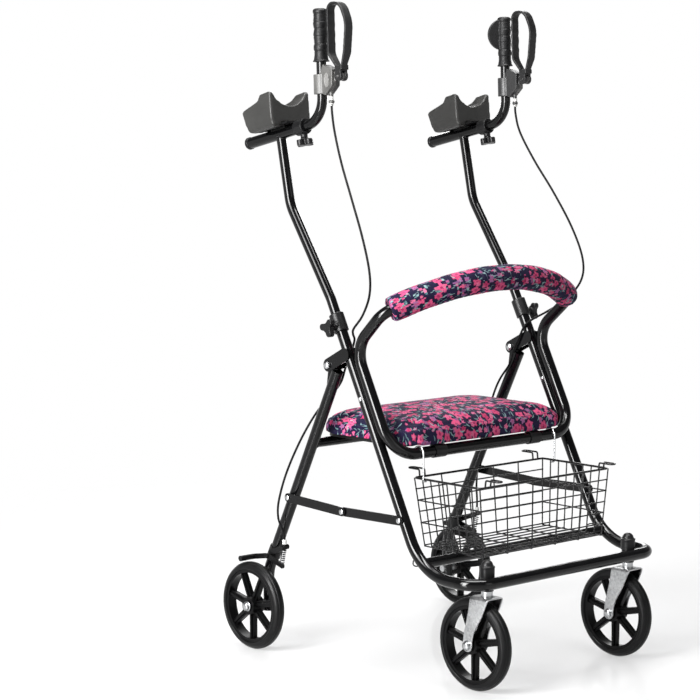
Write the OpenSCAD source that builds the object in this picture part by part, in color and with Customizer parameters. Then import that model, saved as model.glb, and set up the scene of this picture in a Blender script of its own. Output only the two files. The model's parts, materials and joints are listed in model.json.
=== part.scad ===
// Upright walker: a folding four-wheeled walker with forearm troughs, a padded seat and a wire basket.
// Millimetres, +Z up. +X is the user's left, and the user walks towards -Y.
// The origin is on the floor, midway between the front and rear axles.
// Lengths called fwd are measured forwards from the rear axle.

/* [Wheels] */
// Outside diameter of all four wheels
wheel_d = 200; // [190:1:210]
// Width of the tyres
tyre_w = 30; // [26:1:32]
// Thickness of the tyre rubber
tyre_t = 16; // [12:1:20]
// Distance between the front and rear axles
wheel_base = 600; // [590:2:640]
// Distance between the middles of the rear wheels
rear_track = 668; // [664:2:690]
// Distance between the caster stems
stem_track = 449; // [430:1:456]
// How far a caster axle trails behind its stem
caster_trail = 33; // [29:1:36]
// Number of spokes in each wheel
spoke_count = 7; // [5:1:7]

/* [Front frame] */
// Outside diameter of the frame tubes
tube_d = 25.4; // [24:0.2:26]
// Wall of the frame tubes
tube_wall = 1.5; // [1.2:0.1:1.8]
// Distance between the middles of the two legs
leg_track = 576; // [568:1:580]
// Lean of the front legs from upright
leg_lean = 27; // [26:0.25:28]
// Height of the open tops of the front legs
leg_top_z = 765; // [755:1:775]
// Distance of the front leg tops ahead of the rear axle
leg_top_fwd = 237.5; // [232:0.5:243]
// Height of the front loop above the wheel tops
loop_rise = 40; // [36:1:44]
// Bend radius at the foot of each front leg
leg_bend_r = 130; // [110:1:135]
// Bend radius at the front corners of the loop
corner_r = 50; // [40:1:56]
// Height of the lower crossbar
crossbar_z = 266; // [262:1:268]
// Diameter of the lower crossbar
crossbar_d = 22; // [18:1:24]

/* [Rear frame] */
// Lean of the rear legs from upright
rear_lean = 26.3; // [25.5:0.1:27]
// Distance of the folding pivot ahead of the rear axle
pivot_fwd = 222; // [218:0.5:226]
// Height of the folding pivot
pivot_z = 666; // [660:1:672]
// Height of the bend at the foot of each rear leg
knee_z = 175; // [170:1:180]
// Height of the rivet that joins each strut to a rear leg
strut_rear_z = 356; // [350:1:362]
// Height of the rivet that joins each strut to a front leg
strut_front_z = 352; // [346:1:358]

/* [Seat and backrest] */
// Height of the seat front bar
seat_bar_z = 483; // [478:1:488]
// Bend radius at the corners of the seat front bar
seat_corner_r = 70; // [60:1:74]
// Width of the seat cushion
seat_w = 516; // [480:2:522]
// Depth of the seat cushion from front to back
seat_deep = 304; // [290:2:312]
// Thickness of the seat cushion at its edges
seat_t = 40; // [30:1:46]
// Rise of the seat cushion towards its middle
seat_crown = 14; // [6:1:20]
// Height of the bend where the backrest tube leaves the leg
back_bend_z = 708; // [702:1:714]
// Slope of the backrest hoop above level
back_rise = 42; // [38:0.5:46]
// Diameter of the backrest roll
back_roll_d = 60; // [52:1:64]

/* [Arms] */
// Height of the lower bend in each arm post
post_bend_z = 810; // [806:1:816]
// Height of the upper bend in each arm post
post_knee_z = 1010; // [1000:1:1020]
// Distance of the upper post bend ahead of the rear axle
post_knee_fwd = 80; // [74:1:86]
// Height where each post meets its forearm tube
arm_z = 1168; // [1155:1:1185]
// Distance of that joint ahead of the rear axle
arm_fwd = 46.8; // [42:0.2:50]
// Upward slope of the forearm tubes towards the front
arm_rise = 11.7; // [8:0.1:14]
// Distance from the post to the handle bend along the forearm tube
handle_reach = 145; // [142:1:160]
// Height of the handle top above its bend
handle_h = 238; // [234:1:244]
// Width of the forearm troughs
trough_w = 115; // [105:1:120]
// Depth of the hollow for the forearm
trough_dip = 32; // [24:1:36]
// Diameter of the hand grips
grip_d = 32; // [29:1:34]

/* [Basket] */
// Width of the basket at its rim
basket_w = 408; // [390:2:412]
// Height of the basket rim
basket_top_z = 427; // [420:1:434]
// Distance of the rear rim ahead of the rear axle
basket_rear_fwd = 392; // [386:1:398]
// Depth of the basket rim from front to back
basket_deep = 198; // [186:1:204]
// Diameter of the basket wires
wire_d = 3.2; // [2.4:0.2:3.6]

/* [Hidden] */
$fn = 48;
// Cuts pass this far through the faces that they open
overrun = 1;
// Radial clearance of turning and sliding fits
slip = 0.08;
// Free space between pieces that pass each other
gap = 0.4;
// Hairline between the lengths of a bent piece, and half the length of the pegs that join them
seam = 0.02;
peg = 1.5;
peg_share = 0.3;
// Half of a full turn, and a full turn
half_turn = 180;
full_turn = 360;

tube_r = tube_d / 2;
// Free space between the seat cushion and the legs, and room from a rear leg to the middle of its wheel
seat_clear = 4;
wheel_outset = 46;
// The legs stand wide enough for the cushion, and the rear legs splay in where the wheels ask for it
seat_need = seat_w / 2 + tube_r + seat_clear;
wheel_need = rear_track / 2 - wheel_outset;
seat_pass_share = (seat_bar_z - knee_z) / (pivot_z - knee_z);
leg_x = max(leg_track / 2, seat_need, wheel_need + (seat_need - wheel_need) / seat_pass_share);
rear_foot_x = min(leg_x, wheel_need);
axle_z = wheel_d / 2;
stem_x = stem_track / 2;
stem_fwd = wheel_base + caster_trail;
sleeve_d = 28;
sleeve_h = 42;
loop_z = wheel_d + loop_rise;
loop_fwd = stem_fwd + sleeve_d / 2 + tube_r;
leg_foot_fwd = leg_top_fwd + (leg_top_z - loop_z) * tan(leg_lean);

// Wheels
axle_d = 10;
hub_d = 40;
rear_hub_w = 38;
caster_hub_w = 40;
rim_t = 8;
rim_w = 24;
spoke_root_w = 16;
spoke_tip_w = 14;
spoke_t = 10;
rib_w = 4;
rib_t = 18;
hub_ring_d = 26;
hub_ring_t = 2;

// Casters
fork_gap = 4;
crown_t = 3;
fork_in = 44;
fork_t = 3;
crown_front = 24;
crown_back = 26;
fork_end_r = 13;
stem_d = 12;
bearing_h = 12;
bearing_d = 24;
stem_nut_d = 19;
stem_nut_h = 7;
crown_z = wheel_d + fork_gap;
sleeve_z = crown_z + crown_t + bearing_h + gap;
cap_d = 30;
cap_wall = 1.8;
cap_skirt = 14;
cap_ridge_d = 33;
cap_ridge_h = 4;
dome_d = 26;
dome_base = 15;
bolt_head_d = 16;
bolt_head_h = 6;
nut_d = 17;
nut_h = 6;
washer_t = 1.5;

// Folding pivot, brackets and struts
cheek_gap = 0.5;
cheek_t = 3;
bracket_h = 46;
web_h = 24;
web_t = 4;
pivot_bolt_d = 8;
pivot_head_d = 15;
pivot_head_h = 5;
eye_r = 13;
lug_t = 10;
lug_w = 20;
lug_down = 56;
rear_leg_top = 14;
strut_w = 20;
strut_t = 3;
rivet_d = 6;
rivet_head_d = 11;
rivet_head_h = 2.5;
strut_mid_fwd = 270;
strut_mid_z = 348;
rear_foot_drop = 18;
rear_bend_r = 80;

// Brake at the rear wheels
ring_t = 3;
ring_h = 26;
brake_ring_z = 221;
brake_pin_fwd = 20;
brake_pin_z = 214;
brake_pin_d = 6;
brake_arm_t = 4;
brake_arm_w = 12;
brake_arm_gap = 3.3;
shoe_back = 29;
shoe_z = 205;
shoe_d = 13;
shoe_core_d = 8;
brake_tip_fwd = 72;
brake_tip_z = 198;
stop_fwd = 80;
stop_z = 240;
stop_t = 5;
stop_w = 16;
stop_plate_t = 4;
barrel_d = 9;
barrel_h = 13;
inner_wire_d = 1.6;
spring_d = 9;
spring_wire_d = 1.4;
spring_seat = 0.7;
spring_head = 1;
spring_turns = 6;
spring_rings = 8;
spring_sides = 6;

// Height collars and knobs
post_d = tube_d - 2 * tube_wall - 2 * slip;
post_wall = 1.5;
post_in = 220;
post_bend_r = 60;
post_knee_r = 90;
collar_d = 33;
collar_low = 28;
knob_drop = 16;
collar_high = 14;
boss_d = 16;
boss_reach = 24;
knob_stem_d = 7;
knob_hub_d = 18;
knob_neck = 4;
knob_t = 13;
knob_lobe_d = 15;
knob_lobe_r = 14;
height_knob_lobes = 3;
arm_knob_lobes = 4;

// Forearm tube, plate and trough
arm_back = 104;
arm_front = 66;
plug_lip_d = 28;
plug_lip_h = 8;
plug_in = 12;
clamp_d = 35;
clamp_back = 6;
clamp_ahead = 22;
clamp_boss_h = 24;
clamp_knob_ahead = 11;
plate_t = 4;
plate_w = 60;
plate_front = 60;
plate_back = 42;
saddle_w = 20;
saddle_rise = 5;
trough_low = 9;
trough_foot_w = 98;
trough_valley = 55;
trough_lip_w = 9;
trough_front = 48;
trough_back = 56;
trough_wing_z = 87;
trough_step_z = 73;
trough_shoulder_z = 85.5;
trough_tail_z = 62;
trough_step_y = 1;
trough_peak_y = 11;
trough_foot_front = 41;
trough_foot_back = 45;
trough_edge_t = 5;

// Handles, grips, brake housings and levers
handle_in = 30;
handle_r = 60;
handle_lean = 2.3;
handle_d = post_d;
grip_low = 127;
grip_h = 115;
grip_cap = 4;
grip_flare = 2.5;
grip_flare_h = 4;
grip_wave = 0.8;
grip_waves = 4;
grip_steps = 32;
grip_round = 5;
wing_low = 36;
wing_h = 76;
wing_reach = 24;
wing_t = 11;
wing_in_share = 0.87;
wing_back_share = 0.493;
housing_d = 36;
housing_low = 57;
housing_h = 43;
housing_t = 24;
housing_back = 8;
housing_front = 47;
housing_foot = 53;
housing_head = 120;
housing_shares = [[0, 0.1], [0.36, 0], [0.95, 0.3], [1, 0.82], [0.2, 1], [0, 0.76]];
recess_a = 11;
recess_b = 7;
recess_deep = 1.5;
recess_fwd = 31;
recess_z = 88;
tongue_t = 8;
tongue_r = 10;
lever_fwd = 63;
lever_z = 93;
lever_pin_d = 6;
adjuster_fwd = 30;
adjuster_low = 32;
adjuster_top = 66;
adjuster_d = 9;
adjuster_nut_d = 13;
adjuster_nut_h = 5;
lever_w = 16;
lever_t = 5;
lever_cheek_w = 22;
lever_cheek_r = 11;
lever_back = 34;
lever_front = 92;
lever_foot = 111;
lever_top = 250;
lever_shares = [[0.4, 0], [0, 0.22], [0, 1], [0.66, 1], [1, 0.68], [0.86, 0.22], [0.64, 0]];
lever_bends = [22, 16, 30, 60, 40];
lever_block_back = 54;
lever_block_front = 76;
lever_block_low = 106;
lever_block_high = 116;

// Cable route on the left arm as x, fwd and height, from the housing down to the rear brake
cable_d = 5;
cable_play = 0.7;
cable_sides = 8;
cable_steps = 3;
cable_route = [[288, 217, 1236], [288, 219, 1212], [291, 231, 1170], [303, 266, 1105], [318, 315, 1030],
    [330, 362, 950], [336, 390, 880], [334, 388, 830], [322, 354, 785], [304, 306, 752], [288, 286, 738],
    [271, 272, 722], [267, 255, 690], [267, 239, 660], [268, 224, 625], [272, 192, 590], [284, 160, 552],
    [298, 124, 490], [310, 90, 415], [318, 72, 350], [318, 69, 310], [312, 77, 280], [309, 80, 263],
    [309, 80, 256]];

// Seat
strap_x = 150;
strap_w = 34;
strap_t = 1.5;
strap_back = 40;
board_t = 9;
board_in = 14;
board_r = 40;
seat_over = 16;
board_front = 26;
seat_r = 52;
seat_sides = 56;
rest_w = 40;
rest_l = 24;
seat_z = seat_bar_z + tube_r + gap + strap_t;

// Basket
rim_d = 5;
basket_floor_gap = 0.5;
basket_foot_in = 16;
basket_rear_in = 16;
basket_front_in = 4;
basket_rows = 7;
basket_posts = 6;
basket_end_posts = 9;
basket_end_rows = 3;
hook_reach = 40;
hook_w = 16;
hook_rise = 12;
hook_in = 24;
hook_r = 7.5;
hanger_d = 4;
hanger_back = 5;
hanger_tail = 9;
wire_sides = 8;

// Places in the frame
function fy(fwd) = wheel_base / 2 - fwd;
function at(x, fwd, z) = [x, fy(fwd), z];
function leg_axis_fwd(z) = leg_top_fwd + (leg_top_z - z) * tan(leg_lean);
function rear_axis_fwd(z) = (z - knee_z) * tan(rear_lean);
function rear_leg_x(z) = rear_foot_x + (leg_x - rear_foot_x) * (z - knee_z) / (pivot_z - knee_z);
function seat_line_fwd(z) = leg_axis_fwd(z) + tube_d / cos(leg_lean);

// Directions
function unit(v) = v / norm(v);
sideways_share = 0.9;
function any_normal(u) = abs(u[0]) < sideways_share ? unit(cross(u, [1, 0, 0])) : unit(cross(u, [0, 0, 1]));
leg_up = [0, sin(leg_lean), cos(leg_lean)];
rear_top = at(leg_x, rear_axis_fwd(pivot_z), pivot_z);
rear_knee = at(rear_foot_x, 0, knee_z);
rear_up = unit(rear_top - rear_knee);
hoop_up = [0, -cos(back_rise), sin(back_rise)];

// Paths
function turn_at(p, i) = acos(unit(p[i] - p[i - 1]) * unit(p[i + 1] - p[i]));
function cut_at(p, r, i) = (i == 0 || i == len(p) - 1) ? 0 : r[i - 1] * tan(turn_at(p, i) / 2);
function arc_points(a, b, c, r, n) = let (u = unit(b - a), v = unit(c - b), turn = acos(u * v),
    inward = unit(v - u * (u * v)),
    middle = b - u * r * tan(turn / 2) + inward * r)
    [for (i = [0:n]) middle + (u * sin(turn * i / n) - inward * cos(turn * i / n)) * r];
function path_points(p, r, n) = concat([p[0]], [for (i = [1:len(p) - 2]) each arc_points(p[i - 1], p[i],
    p[i + 1], r[i - 1], n)],
    [p[len(p) - 1]]);
function mirrored(p) = [for (q = p) [-q[0], q[1], q[2]]];
function backwards(p) = [for (i = [len(p) - 1:-1:0]) p[i]];

leg_foot = [at(leg_x, leg_top_fwd, leg_top_z), at(leg_x, leg_foot_fwd, loop_z),
    at(leg_x, loop_fwd, loop_z)];
leg_path = concat(leg_foot, backwards(mirrored(leg_foot)));
leg_bends = [leg_bend_r, corner_r, corner_r, leg_bend_r];

// Point of the leg bend at the height of the lower crossbar
leg_bend_cut = leg_bend_r * tan((90 - leg_lean) / 2);
leg_bend_drop = loop_z + leg_bend_r - crossbar_z;
crossbar_fwd = leg_foot_fwd + leg_bend_cut - sqrt(leg_bend_r * leg_bend_r - leg_bend_drop * leg_bend_drop);

rear_leg_path = [rear_top - rear_up * rear_leg_top, rear_knee,
    at(rear_foot_x, 0, axle_z - rear_foot_drop)];
brake_arm_x = rear_leg_x(brake_ring_z) + tube_r + ring_t + brake_arm_gap;
stop_x = brake_arm_x + brake_arm_t / 2;
rear_bar_z = seat_bar_z + tube_r - crossbar_d / 2;

seat_join_drop = 60;
seat_join_z = back_bend_z - seat_join_drop;
seat_bar_fwd = seat_line_fwd(seat_bar_z);
seat_side = [at(leg_x, seat_line_fwd(seat_join_z), seat_join_z), at(leg_x, seat_bar_fwd, seat_bar_z)];
seat_path = concat(seat_side, backwards(mirrored(seat_side)));

hoop_shoulder = 122;
hoop_top = 312;
hoop_shoulder_out = 6;
hoop_start_r = 60;
hoop_shoulder_r = 44;
hoop_top_r = 475;
hoop_foot = at(leg_x, seat_line_fwd(back_bend_z), back_bend_z);
hoop_side = [at(leg_x, seat_line_fwd(seat_join_z), seat_join_z), hoop_foot,
    hoop_foot + hoop_up * hoop_shoulder + [hoop_shoulder_out, 0, 0]];
hoop_peak = [0, hoop_foot[1], hoop_foot[2]] + hoop_up * hoop_top;
hoop_path = concat(hoop_side, [hoop_peak], backwards(mirrored(hoop_side)));
hoop_bends = [hoop_start_r, hoop_shoulder_r, hoop_top_r, hoop_shoulder_r, hoop_start_r];
roll_start = 28;
roll_steps = 24;
roll_sides = 18;
roll_end_shares = [0.2, 0.06, 0.02, 0];
roll_side = hoop_peak - hoop_side[2];
roll_first = hoop_side[2] + unit(roll_side) * roll_start;
roll_path = [roll_first, hoop_peak, mirrored([roll_first])[0]];
roll_bends = [hoop_top_r];

function arm_point(y, z) = [leg_x, fy(arm_fwd) + y * cos(arm_rise) + z * sin(arm_rise),
    arm_z - y * sin(arm_rise) + z * cos(arm_rise)];
leg_top = at(leg_x, leg_top_fwd, leg_top_z);
post_path = [leg_top - leg_up * post_in, at(leg_x, leg_axis_fwd(post_bend_z), post_bend_z),
    at(leg_x, post_knee_fwd, post_knee_z), at(leg_x, arm_fwd, arm_z)];
post_bends = [post_bend_r, post_knee_r];
handle_foot = arm_point(-handle_reach, 0);
handle_up = [0, sin(handle_lean), cos(handle_lean)];
handle_path = [arm_point(handle_in, 0), handle_foot, handle_foot + handle_up * handle_h];

// Puts children at o with their x and y axes along the given directions
module place(o, x, y) {
    z = cross(x, y);
    multmatrix([[x[0], y[0], z[0], o[0]], [x[1], y[1], z[1], o[1]], [x[2], y[2], z[2], o[2]], [0, 0, 0, 1]])
        children();
}

// Runs a flat profile in a straight line from a to b
module along(a, b, normal) {
    u = unit(b - a);
    n = is_undef(normal) ? any_normal(u) : normal;
    place(a, cross(n, u), n) linear_extrude(norm(b - a)) children();
}

// Runs a flat profile round the bend between three points
module arc_at(a, b, c, r) {
    u = unit(b - a);
    v = unit(c - b);
    turn = acos(u * v);
    inward = unit(v - u * (u * v));
    place(b - u * r * tan(turn / 2) + inward * r, -inward, u)
        rotate_extrude(angle = turn) translate([r, 0]) children();
}

// Runs a flat profile along a line of points with a bend at each inner one.
// The second child is a smaller profile that joins the lengths inside their walls.
module swept(p, r, normal) {
    n = len(p);
    for (i = [0:n - 2]) {
        u = unit(p[i + 1] - p[i]);
        start = cut_at(p, r, i) + (i > 0 ? seam : 0);
        end = cut_at(p, r, i + 1) + (i < n - 2 ? seam : 0);
        along(p[i] + u * start, p[i + 1] - u * end, normal) children(0);
    }
    if (n > 2) {
        for (i = [1:n - 2]) {
            u = unit(p[i] - p[i - 1]);
            v = unit(p[i + 1] - p[i]);
            cut = cut_at(p, r, i);
            arc_at(p[i - 1], p[i], p[i + 1], r[i - 1]) children(0);
            along(p[i] - u * (cut + peg), p[i] - u * (cut - peg), normal) children(1);
            along(p[i] + v * (cut - peg), p[i] + v * (cut + peg), normal) children(1);
        }
    }
}

module ring_outline(d, wall) {
    difference() {
        circle(d = d);
        circle(d = d - 2 * wall);
    }
}

// Hollow tube along a line of points
module bent_tube(p, r, d, wall) {
    swept(p, r) {
        ring_outline(d, wall);
        ring_outline(d - 2 * wall * peg_share, wall * (1 - 2 * peg_share));
    }
}

module rod(a, b, d) {
    along(a, b) circle(d = d);
}

// Cylinder along x
module pin(x0, x1, fwd, z, d) {
    translate(at(x0, fwd, z)) rotate([0, 90, 0]) cylinder(d = d, h = x1 - x0);
}

module on_side(side) {
    if (side < 0) {
        mirror([1, 0, 0]) children();
    } else {
        children();
    }
}

module both_sides() {
    on_side(1) children();
    on_side(-1) children();
}

// Plate in a fore-and-aft plane, drawn as fwd and height, from x0 to x1
module side_plate(x0, x1) {
    place([x0, fy(0), 0], [0, -1, 0], [0, 0, 1]) translate([0, 0, -(x1 - x0)]) linear_extrude(x1 - x0)
        children();
}

// Flat bar outline with round ends
module bar_outline(a, b, w) {
    u = unit(b - a);
    n = [-u[1], u[0]] * w / 2;
    polygon([a + n, b + n, b - n, a - n]);
    translate(a) circle(d = w);
    translate(b) circle(d = w);
}

// Fixed front frame
module leg_bends_solid() {
    both_sides() arc_at(leg_path[0], leg_path[1], leg_path[2], leg_bend_r) circle(d = tube_d);
}

module leg_loop_tube() {
    color("#16171a") difference() {
        bent_tube(leg_path, leg_bends, tube_d, tube_wall);
        both_sides() {
            pin(leg_x, leg_x + tube_d, leg_axis_fwd(strut_front_z), strut_front_z, rivet_d);
            collar_frame() knob_hole(tube_d);
        }
    }
}

module lower_crossbar() {
    color("#16171a") difference() {
        rod(at(-leg_x, crossbar_fwd, crossbar_z), at(leg_x, crossbar_fwd, crossbar_z), crossbar_d);
        leg_bends_solid();
        rod(at(-leg_x, crossbar_fwd, crossbar_z), at(leg_x, crossbar_fwd, crossbar_z),
            crossbar_d - 2 * tube_wall);
    }
}

module stem_sleeves() {
    color("#16171a") both_sides() translate(at(stem_x, stem_fwd, sleeve_z)) difference() {
        cylinder(d = sleeve_d, h = sleeve_h);
        translate([0, 0, -overrun]) cylinder(d = stem_d + 2 * slip, h = sleeve_h + 2 * overrun);
    }
}

module stem_caps() {
    color("#1c1d20") both_sides() translate(at(stem_x, stem_fwd, sleeve_z + sleeve_h)) difference() {
        union() {
            translate([0, 0, -cap_skirt]) cylinder(d = cap_d + cap_wall, h = cap_skirt);
            cylinder(d = cap_d + cap_wall, h = dome_base - cap_ridge_h);
            translate([0, 0, dome_base - 2 * cap_ridge_h]) cylinder(d = cap_ridge_d, h = cap_ridge_h);
            translate([0, 0, dome_base - cap_ridge_h]) sphere(d = dome_d);
        }
        translate([0, 0, -cap_skirt - overrun]) cylinder(d = sleeve_d, h = cap_skirt + overrun);
        translate([0, 0, -overrun]) cylinder(d = bearing_d, h = stem_nut_h + 2 * gap + overrun);
    }
}

// Cheeks that hold the folding pivot behind each front leg, with a web against the leg
module pivot_brackets() {
    reach = (leg_axis_fwd(pivot_z) - pivot_fwd) * cos(leg_lean);
    base_fwd = pivot_fwd + reach * cos(leg_lean);
    base_z = pivot_z + reach * sin(leg_lean);
    base = at(leg_x, base_fwd, base_z);
    cheek = tube_r + cheek_gap;
    color("#16171a") both_sides() difference() {
        union() {
            for (s = [-1, 1]) {
                x0 = leg_x + (s > 0 ? cheek : -cheek - cheek_t);
                side_plate(x0, x0 + cheek_t) bar_outline([base_fwd, base_z], [pivot_fwd, pivot_z],
                    2 * eye_r + cheek_t);
            }
            translate(base) rotate([-leg_lean, 0, 0]) translate([-cheek - cheek_t / 2, 0, -web_h / 2])
                cube([2 * cheek + cheek_t, tube_r + web_t, web_h]);
        }
        rod(base - leg_up * bracket_h, base + leg_up * bracket_h, tube_d);
        pin(leg_x - tube_d, leg_x + tube_d, pivot_fwd, pivot_z, pivot_bolt_d);
    }
}

module seat_frame_tube() {
    color("#16171a") bent_tube(seat_path, [seat_corner_r, seat_corner_r], tube_d, tube_wall);
}

module backrest_tube() {
    color("#16171a") bent_tube(hoop_path, hoop_bends, tube_d, tube_wall);
}

// Padded roll round the hoop, drawn in at its ends, with the bore for the tube
module backrest_pad() {
    line = path_points(roll_path, roll_bends, roll_steps);
    n = len(line);
    tangents = [for (i = [0:n - 1]) unit(line[min(i + 1, n - 1)] - line[max(i - 1, 0)])];
    across = cross([1, 0, 0], hoop_up);
    skin = [for (i = [0:n - 1]) back_roll_d / 2 * (1 - roll_end_shares[min(min(i, n - 1 - i),
        len(roll_end_shares) - 1)])];
    bore = (tube_r + gap) / cos(half_turn / roll_sides);
    rings = [for (r = [skin, [for (q = skin) bore]], i = [0:n - 1]) let (e = cross(tangents[i], across))
        for (k = [0:roll_sides - 1]) let (a = full_turn * k / roll_sides)
            line[i] + (across * cos(a) + e * sin(a)) * r[i]];
    m = roll_sides;
    inner = n * m;
    walls = [for (i = [0:n - 2], k = [0:m - 1]) let (a = i * m + k, b = i * m + (k + 1) % m)
        each [[a, a + m, b], [b, a + m, b + m], [inner + b, inner + a + m, inner + a],
            [inner + b + m, inner + a + m, inner + b]]];
    ends = [for (k = [0:m - 1]) let (a = k, b = (k + 1) % m, c = (n - 1) * m + k,
        d = (n - 1) * m + (k + 1) % m)
        each [[a, b, inner + a], [inner + a, b, inner + b], [d, c, inner + c], [inner + d, d, inner + c]]];
    color("#2a2f52") polyhedron(points = rings, faces = concat(walls, ends));
}

module collar_frame() {
    place(leg_top, [1, 0, 0], [0, cos(leg_lean), -sin(leg_lean)]) children();
}

// Hole for the stem of a height knob
module knob_hole(h) {
    translate([0, 0, -knob_drop]) rotate([0, 90, 0]) cylinder(d = knob_stem_d + 2 * slip, h = h);
}

module height_collars() {
    color("#1c1d20") both_sides() collar_frame() difference() {
        union() {
            translate([0, 0, -collar_low]) cylinder(d = collar_d, h = collar_low + collar_high);
            translate([0, 0, -knob_drop]) rotate([0, 90, 0]) cylinder(d = boss_d, h = boss_reach);
        }
        translate([0, 0, -collar_low - overrun]) cylinder(d = tube_d, h = collar_low + overrun);
        translate([0, 0, -overrun]) cylinder(d = post_d + 2 * slip, h = collar_high + 2 * overrun);
        knob_hole(boss_reach + overrun);
    }
}

// Strut rivets on the front legs and the folding pivot bolts
module frame_bolts() {
    z = strut_front_z;
    link_x = leg_x + tube_r + gap;
    color("#b9bcc0") both_sides() {
        pin(leg_x + tube_r - tube_wall, link_x + strut_t + gap, leg_axis_fwd(z), z, rivet_d);
        pin(link_x + strut_t + gap, link_x + strut_t + gap + rivet_head_h, leg_axis_fwd(z), z,
            rivet_head_d);
        bolt_x = tube_r + cheek_gap + cheek_t;
        pin(leg_x - bolt_x, leg_x + bolt_x, pivot_fwd, pivot_z, pivot_bolt_d);
        pin(leg_x + bolt_x, leg_x + bolt_x + pivot_head_h, pivot_fwd, pivot_z, pivot_head_d);
        pin(leg_x - bolt_x - pivot_head_h, leg_x - bolt_x, pivot_fwd, pivot_z, pivot_head_d);
    }
}

// Folding rear frame
module rear_legs() {
    axis = rear_axis_fwd(pivot_z - lug_down);
    rivet_x = rear_leg_x(strut_rear_z);
    color("#16171a") both_sides() difference() {
        union() {
            bent_tube(rear_leg_path, [rear_bend_r], tube_d, tube_wall);
            side_plate(leg_x - lug_t / 2, leg_x + lug_t / 2) {
                bar_outline([pivot_fwd, pivot_z], [axis, pivot_z - lug_down], lug_w);
                translate([pivot_fwd, pivot_z]) circle(r = eye_r);
            }
        }
        pin(leg_x - lug_t, leg_x + lug_t, pivot_fwd, pivot_z, pivot_bolt_d + 2 * slip);
        pin(rear_foot_x - tube_d, rear_foot_x + tube_d, 0, axle_z, axle_d);
        pin(rivet_x, rivet_x + tube_d, rear_axis_fwd(strut_rear_z), strut_rear_z, rivet_d);
    }
}

module rear_crossbar() {
    a = at(-rear_leg_x(rear_bar_z), rear_axis_fwd(rear_bar_z), rear_bar_z);
    b = at(rear_leg_x(rear_bar_z), rear_axis_fwd(rear_bar_z), rear_bar_z);
    color("#16171a") difference() {
        rod(a, b, crossbar_d);
        both_sides() rod(b - rear_up * tube_d, b + rear_up * tube_d, tube_d);
        rod(a, b, crossbar_d - 2 * tube_wall);
    }
}

// Rear axles with their spacers and nuts, and the rear strut rivets
module rear_bolts() {
    hub_in = rear_track / 2 - rear_hub_w / 2;
    hub_out = rear_track / 2 + rear_hub_w / 2;
    link_x = leg_x + tube_r + 2 * gap + strut_t;
    z = strut_rear_z;
    rivet_x = rear_leg_x(z);
    foot_x = rear_foot_x;
    color("#b9bcc0") both_sides() {
        difference() {
            union() {
                pin(foot_x - tube_r - bolt_head_h, foot_x - tube_r, 0, axle_z, bolt_head_d);
                pin(foot_x, hub_in - gap, 0, axle_z, bolt_head_d);
            }
            translate(at(foot_x, 0, axle_z - tube_d)) cylinder(d = tube_d, h = 2 * tube_d);
        }
        pin(foot_x - tube_r - bolt_head_h, hub_out + gap + nut_h, 0, axle_z, axle_d);
        pin(hub_out + gap, hub_out + gap + nut_h, 0, axle_z, nut_d);
        difference() {
            pin(rivet_x, link_x - gap / 2, rear_axis_fwd(z), z, rivet_head_d);
            rod(at(rivet_x, rear_axis_fwd(z), z) - rear_up * tube_d,
                at(rivet_x, rear_axis_fwd(z), z) + rear_up * tube_d, tube_d);
        }
        pin(rivet_x + tube_r - tube_wall, link_x + strut_t + gap, rear_axis_fwd(z), z, rivet_d);
        pin(link_x + strut_t + gap, link_x + strut_t + gap + rivet_head_h, rear_axis_fwd(z), z,
            rivet_head_d);
    }
}

// Clamp on the rear leg that carries the brake pin and the cable stop
module brake_brackets() {
    ring_x = rear_leg_x(brake_ring_z);
    base = at(ring_x, rear_axis_fwd(brake_ring_z), brake_ring_z);
    x1 = ring_x + tube_r + ring_t;
    color("#1c1d20") both_sides() difference() {
        union() {
            rod(base - rear_up * ring_h / 2, base + rear_up * ring_h / 2, tube_d + 2 * ring_t);
            pin(ring_x, brake_arm_x - gap, brake_pin_fwd, brake_pin_z, 2 * brake_pin_d);
            pin(ring_x, brake_arm_x + brake_arm_t + gap, brake_pin_fwd, brake_pin_z, brake_pin_d);
            pin(brake_arm_x + brake_arm_t + gap, brake_arm_x + brake_arm_t + gap + rivet_head_h,
                brake_pin_fwd, brake_pin_z, 2 * brake_pin_d);
            side_plate(x1 - stop_plate_t, x1)
                bar_outline([rear_axis_fwd(brake_ring_z), brake_ring_z], [stop_fwd, stop_z + stop_t / 2],
                    brake_arm_w);
            side_plate(x1 - stop_plate_t, x1 + stop_w) translate([stop_fwd - brake_arm_w / 2, stop_z])
                square([brake_arm_w, stop_t]);
            translate(at(stop_x, stop_fwd, stop_z)) cylinder(d = barrel_d, h = stop_t + barrel_h);
        }
        rod(base - rear_up * ring_h, base + rear_up * ring_h, tube_d);
        translate(at(stop_x, stop_fwd, stop_z - overrun))
            cylinder(d = cable_d + 2 * cable_play, h = stop_t + barrel_h + 2 * overrun);
    }
}

// Return springs between the cable stop and the brake arm
module brake_springs() {
    a = at(stop_x, brake_tip_fwd, brake_tip_z + brake_arm_w / 2 + spring_wire_d / 2 + spring_seat);
    b = at(stop_x, stop_fwd, stop_z - spring_wire_d / 2 - spring_head);
    u = unit(b - a);
    e1 = any_normal(u);
    e2 = cross(u, e1);
    n = spring_turns * spring_rings;
    coil_r = (spring_d - spring_wire_d) / 2;
    line = [for (i = [0:n]) let (t = full_turn * i / spring_rings)
        a + (b - a) * i / n + (e1 * cos(t) + e2 * sin(t)) * coil_r];
    echo(spring_self_gap = norm(b - a) / spring_turns - spring_wire_d);
    color("#3b3d40") both_sides() cord(line, [for (q = line) spring_wire_d / 2], spring_sides, u);
}

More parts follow.
